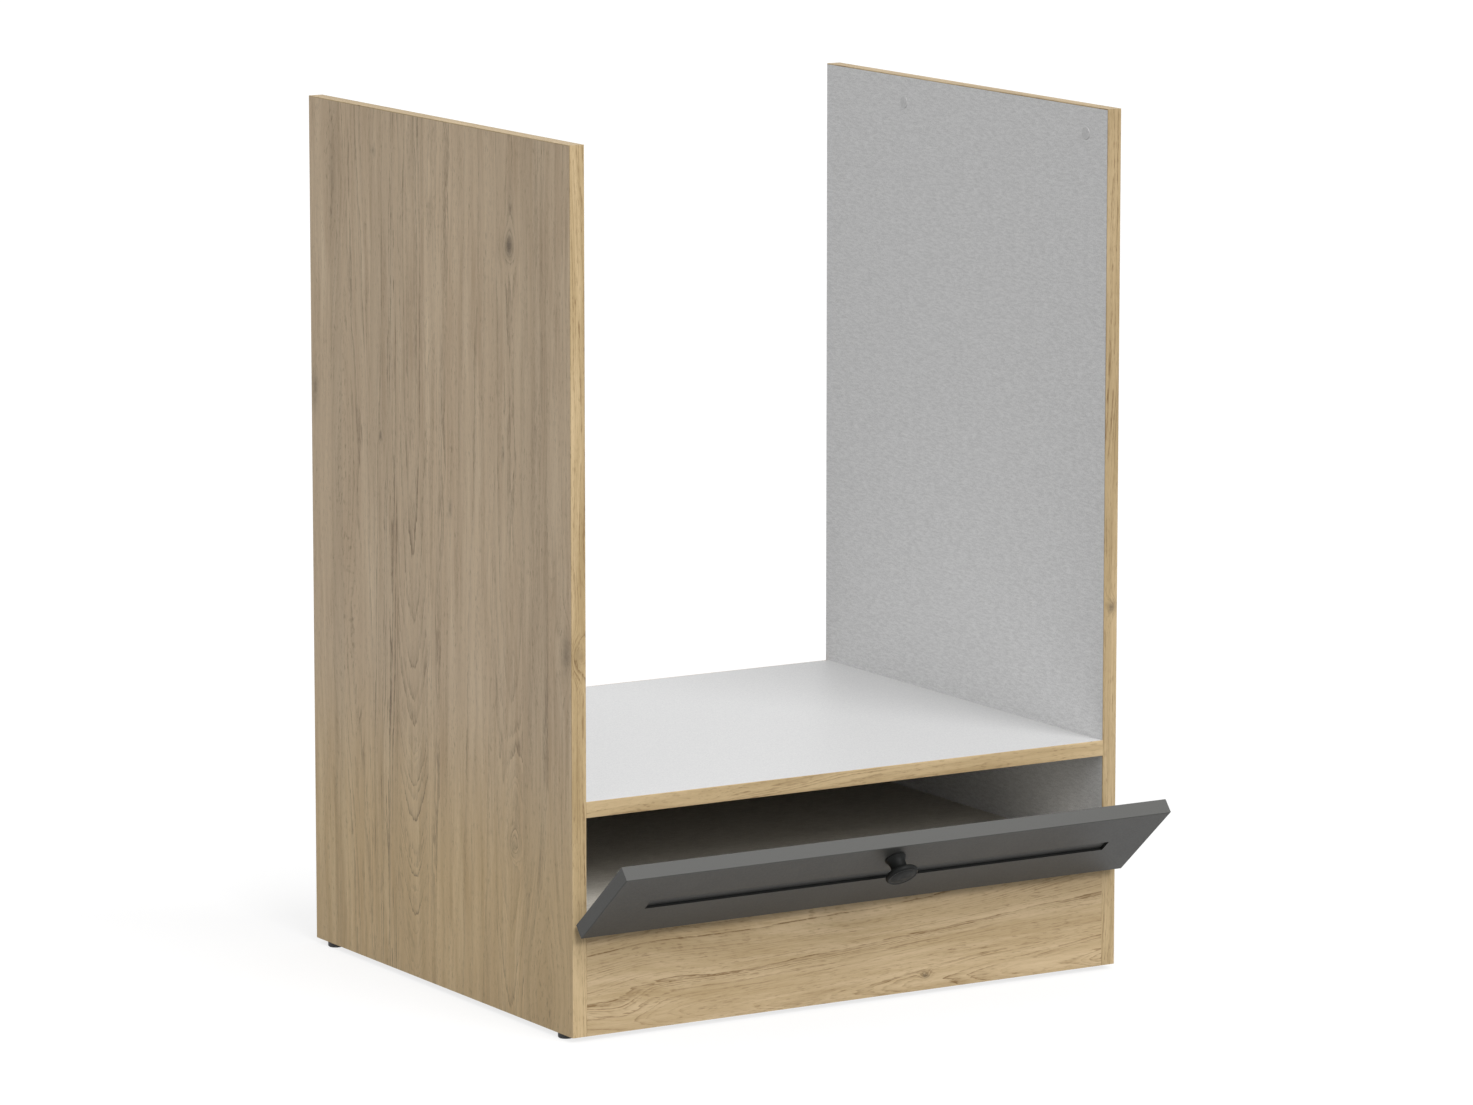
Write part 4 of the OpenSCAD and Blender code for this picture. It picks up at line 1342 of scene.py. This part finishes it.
# ---------------------------------------------------------------- figures of the oak pieces


def side_lanes(seed: int) -> tuple[Lane, ...]:
    """Makes up lanes for a side: straight grain, and two lanes with wide arches low down.

    Args:
        seed: seed of the random numbers.

    Returns:
        The lanes, from the front edge backwards.
    """
    rng = np.random.default_rng(seed)
    edges = np.concatenate([[0.0], np.cumsum(rng.uniform(32, 78, 9))])
    lanes = []
    for number, start in enumerate(edges):
        arched = number in (2, 6)
        lanes.append(
            Lane(
                start=float(start),
                pith=float(start + 28 if arched else start + rng.choice([-1, 1]) * rng.uniform(90, 260)),
                depth=float(rng.uniform(18, 30) if arched else rng.uniform(40, 70)),
                taper=float(rng.uniform(0.1, 0.2) if arched else rng.uniform(-0.05, 0.05)),
                pitch=float(rng.uniform(5.5, 7) if arched else rng.uniform(9, 16)),
                tone=float(rng.uniform(0.96, 1.05)),
                contrast=float(rng.uniform(0.8, 1.1) if arched else rng.uniform(0.45, 0.7)),
                arch_end=float(rng.uniform(260, 420)),
            )
        )
    return tuple(lanes)


LEFT_FIGURE = OakFigure(
    lanes=(
        Lane(0, -120, 40, 0.01, 12.0, 1.0, 0.45),
        Lane(43, 240, 60, -0.03, 14.0, 0.96, 0.6),
        Lane(91, 112, 30, -0.12, 6.0, 1.02, 0.9, 330),
        Lane(142, -60, 60, 0.05, 15.0, 1.03, 0.5),
        Lane(216, 420, 50, -0.04, 16.0, 1.05, 0.6),
        Lane(274, 300, 18, -0.3, 6.0, 1.0, 1.0, 350),
        Lane(330, 150, 40, 0.04, 6.0, 0.98, 1.0),
        Lane(380, 560, 60, 0.06, 13.0, 1.03, 0.6),
        Lane(438, 300, 60, 0.02, 9.0, 0.95, 0.8),
        Lane(460, 620, 60, -0.04, 14.0, 1.01, 0.45),
    ),
    knots=(
        Knot(112.1, 726.7, 7.5, 10.0, 0.8, 3.0),
        Knot(110.1, 760.0, 5.0, 34.0, 0.15, 1.5),
        Knot(362.0, 518.3, 2.6, 4.5, 0.75, 1.0),
        Knot(372.0, 789.3, 4.0, 5.0, 0.35, 1.0),
        Knot(9.9, 362.1, 10.0, 20.0, 0.5, 2.0),
        Knot(226.5, 467.1, 3.0, 9.0, 0.45, 1.0),
        Knot(493.7, 546.8, 8.0, 24.0, 0.45, 2.0),
        Knot(125.3, 532.4, 3.0, 12.0, 0.3, 1.0),
        Knot(106.5, 205.0, 9.0, 34.0, 0.0, 3.0),
        Knot(108.0, 168.0, 7.0, 8.0, 0.3, 2.0),
        Knot(420.0, 330.0, 16.0, 70.0, 0.0, 2.0),
        Knot(52.0, 38.0, 26.0, 46.0, 0.0, 3.0),
        Knot(440.0, 470.0, 20.0, 90.0, 0.0, -2.5),
        Knot(455.0, 760.0, 12.0, 45.0, 0.12, 1.0),
    ),
    seed=11,
)
RIGHT_FIGURE = OakFigure(
    lanes=side_lanes(5),
    knots=(
        Knot(140.0, 610.0, 8.0, 12.0, 0.7, 3.0),
        Knot(388.0, 236.0, 7.0, 13.0, 0.55, 3.0),
        Knot(275.0, 470.0, 2.8, 4.0, 0.6, 1.0),
        Knot(60.0, 118.0, 3.0, 5.0, 0.5, 1.0),
    ),
    seed=31,
)
PLINTH_FIGURE = OakFigure(
    lanes=(Lane(0, 12, 9, -0.085, 3.4, 1.0, 1.0),),
    knots=(
        Knot(18.9, 84.4, 2.6, 4.0, 0.8, 1.5),
        Knot(27.3, -246.0, 9.0, 22.0, 0.0, 2.5),
        Knot(96.0, 60.0, 18.0, 140.0, 0.0, 4.0),
        Knot(62.0, -215.0, 26.0, 70.0, 0.0, -3.0),
    ),
    seed=7,
    wave=4.0,
)
SHELF_BAND_FIGURE = OakFigure(
    lanes=(Lane(0, 170, 20, -0.05, 6.0, 1.0, 0.9),), knots=(Knot(217.5, -174.2, 6.0, 22.0, 0.0, 2.5),), seed=17, wave=5.0
)
LEFT_BAND_FIGURE = OakFigure(
    lanes=(Lane(-400, -330, 12, 0.02, 4.5, 1.03, 0.7),), knots=(Knot(-293.0, 360.2, 6.0, 11.0, 0.25, 4.0),), seed=19
)
RIGHT_BAND_FIGURE = OakFigure(
    lanes=(Lane(-400, 330, 12, 0.02, 4.5, 0.93, 0.7),), knots=(Knot(293.7, 353.7, 4.5, 6.0, 0.8, 2.0),), seed=23
)
LEFT_TOP_FIGURE = OakFigure(lanes=(Lane(-400, -330, 12, 0.02, 4.5, 0.86, 0.6),), seed=27)
RIGHT_TOP_FIGURE = OakFigure(lanes=(Lane(-400, 330, 12, 0.02, 4.5, 0.86, 0.6),), seed=29)


def main() -> None:
    """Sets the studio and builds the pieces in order."""
    logging.basicConfig(level=logging.INFO, format="%(name)s: %(message)s")
    bpy.context.scene.view_settings.view_transform = "Standard"
    studio = Studio()
    studio.camera()
    studio.light()
    studio.floor()
    SidePanel(-1, LEFT_FIGURE).build()
    SidePanel(1, RIGHT_FIGURE).build()
    Plinth(PLINTH_FIGURE).build()
    # Node, figure, axes of length, width and thickness, and the way that it looks
    for band in (
        OakBand("left_front_edge_band", LEFT_BAND_FIGURE, 2, 0, 1, -1),
        OakBand("right_front_edge_band", RIGHT_BAND_FIGURE, 2, 0, 1, -1),
        OakBand("left_top_edge_band", LEFT_TOP_FIGURE, 1, 0, 2, 1),
        OakBand("right_top_edge_band", RIGHT_TOP_FIGURE, 1, 0, 2, 1),
        OakBand("shelf_edge_band", SHELF_BAND_FIGURE, 0, 2, 1, -1),
    ):
        band.build()
    CoverCaps(-1).build()
    CoverCaps(1).build()
    Knob().build()
    Fittings().dress()


if __name__ == "__main__":
    main()
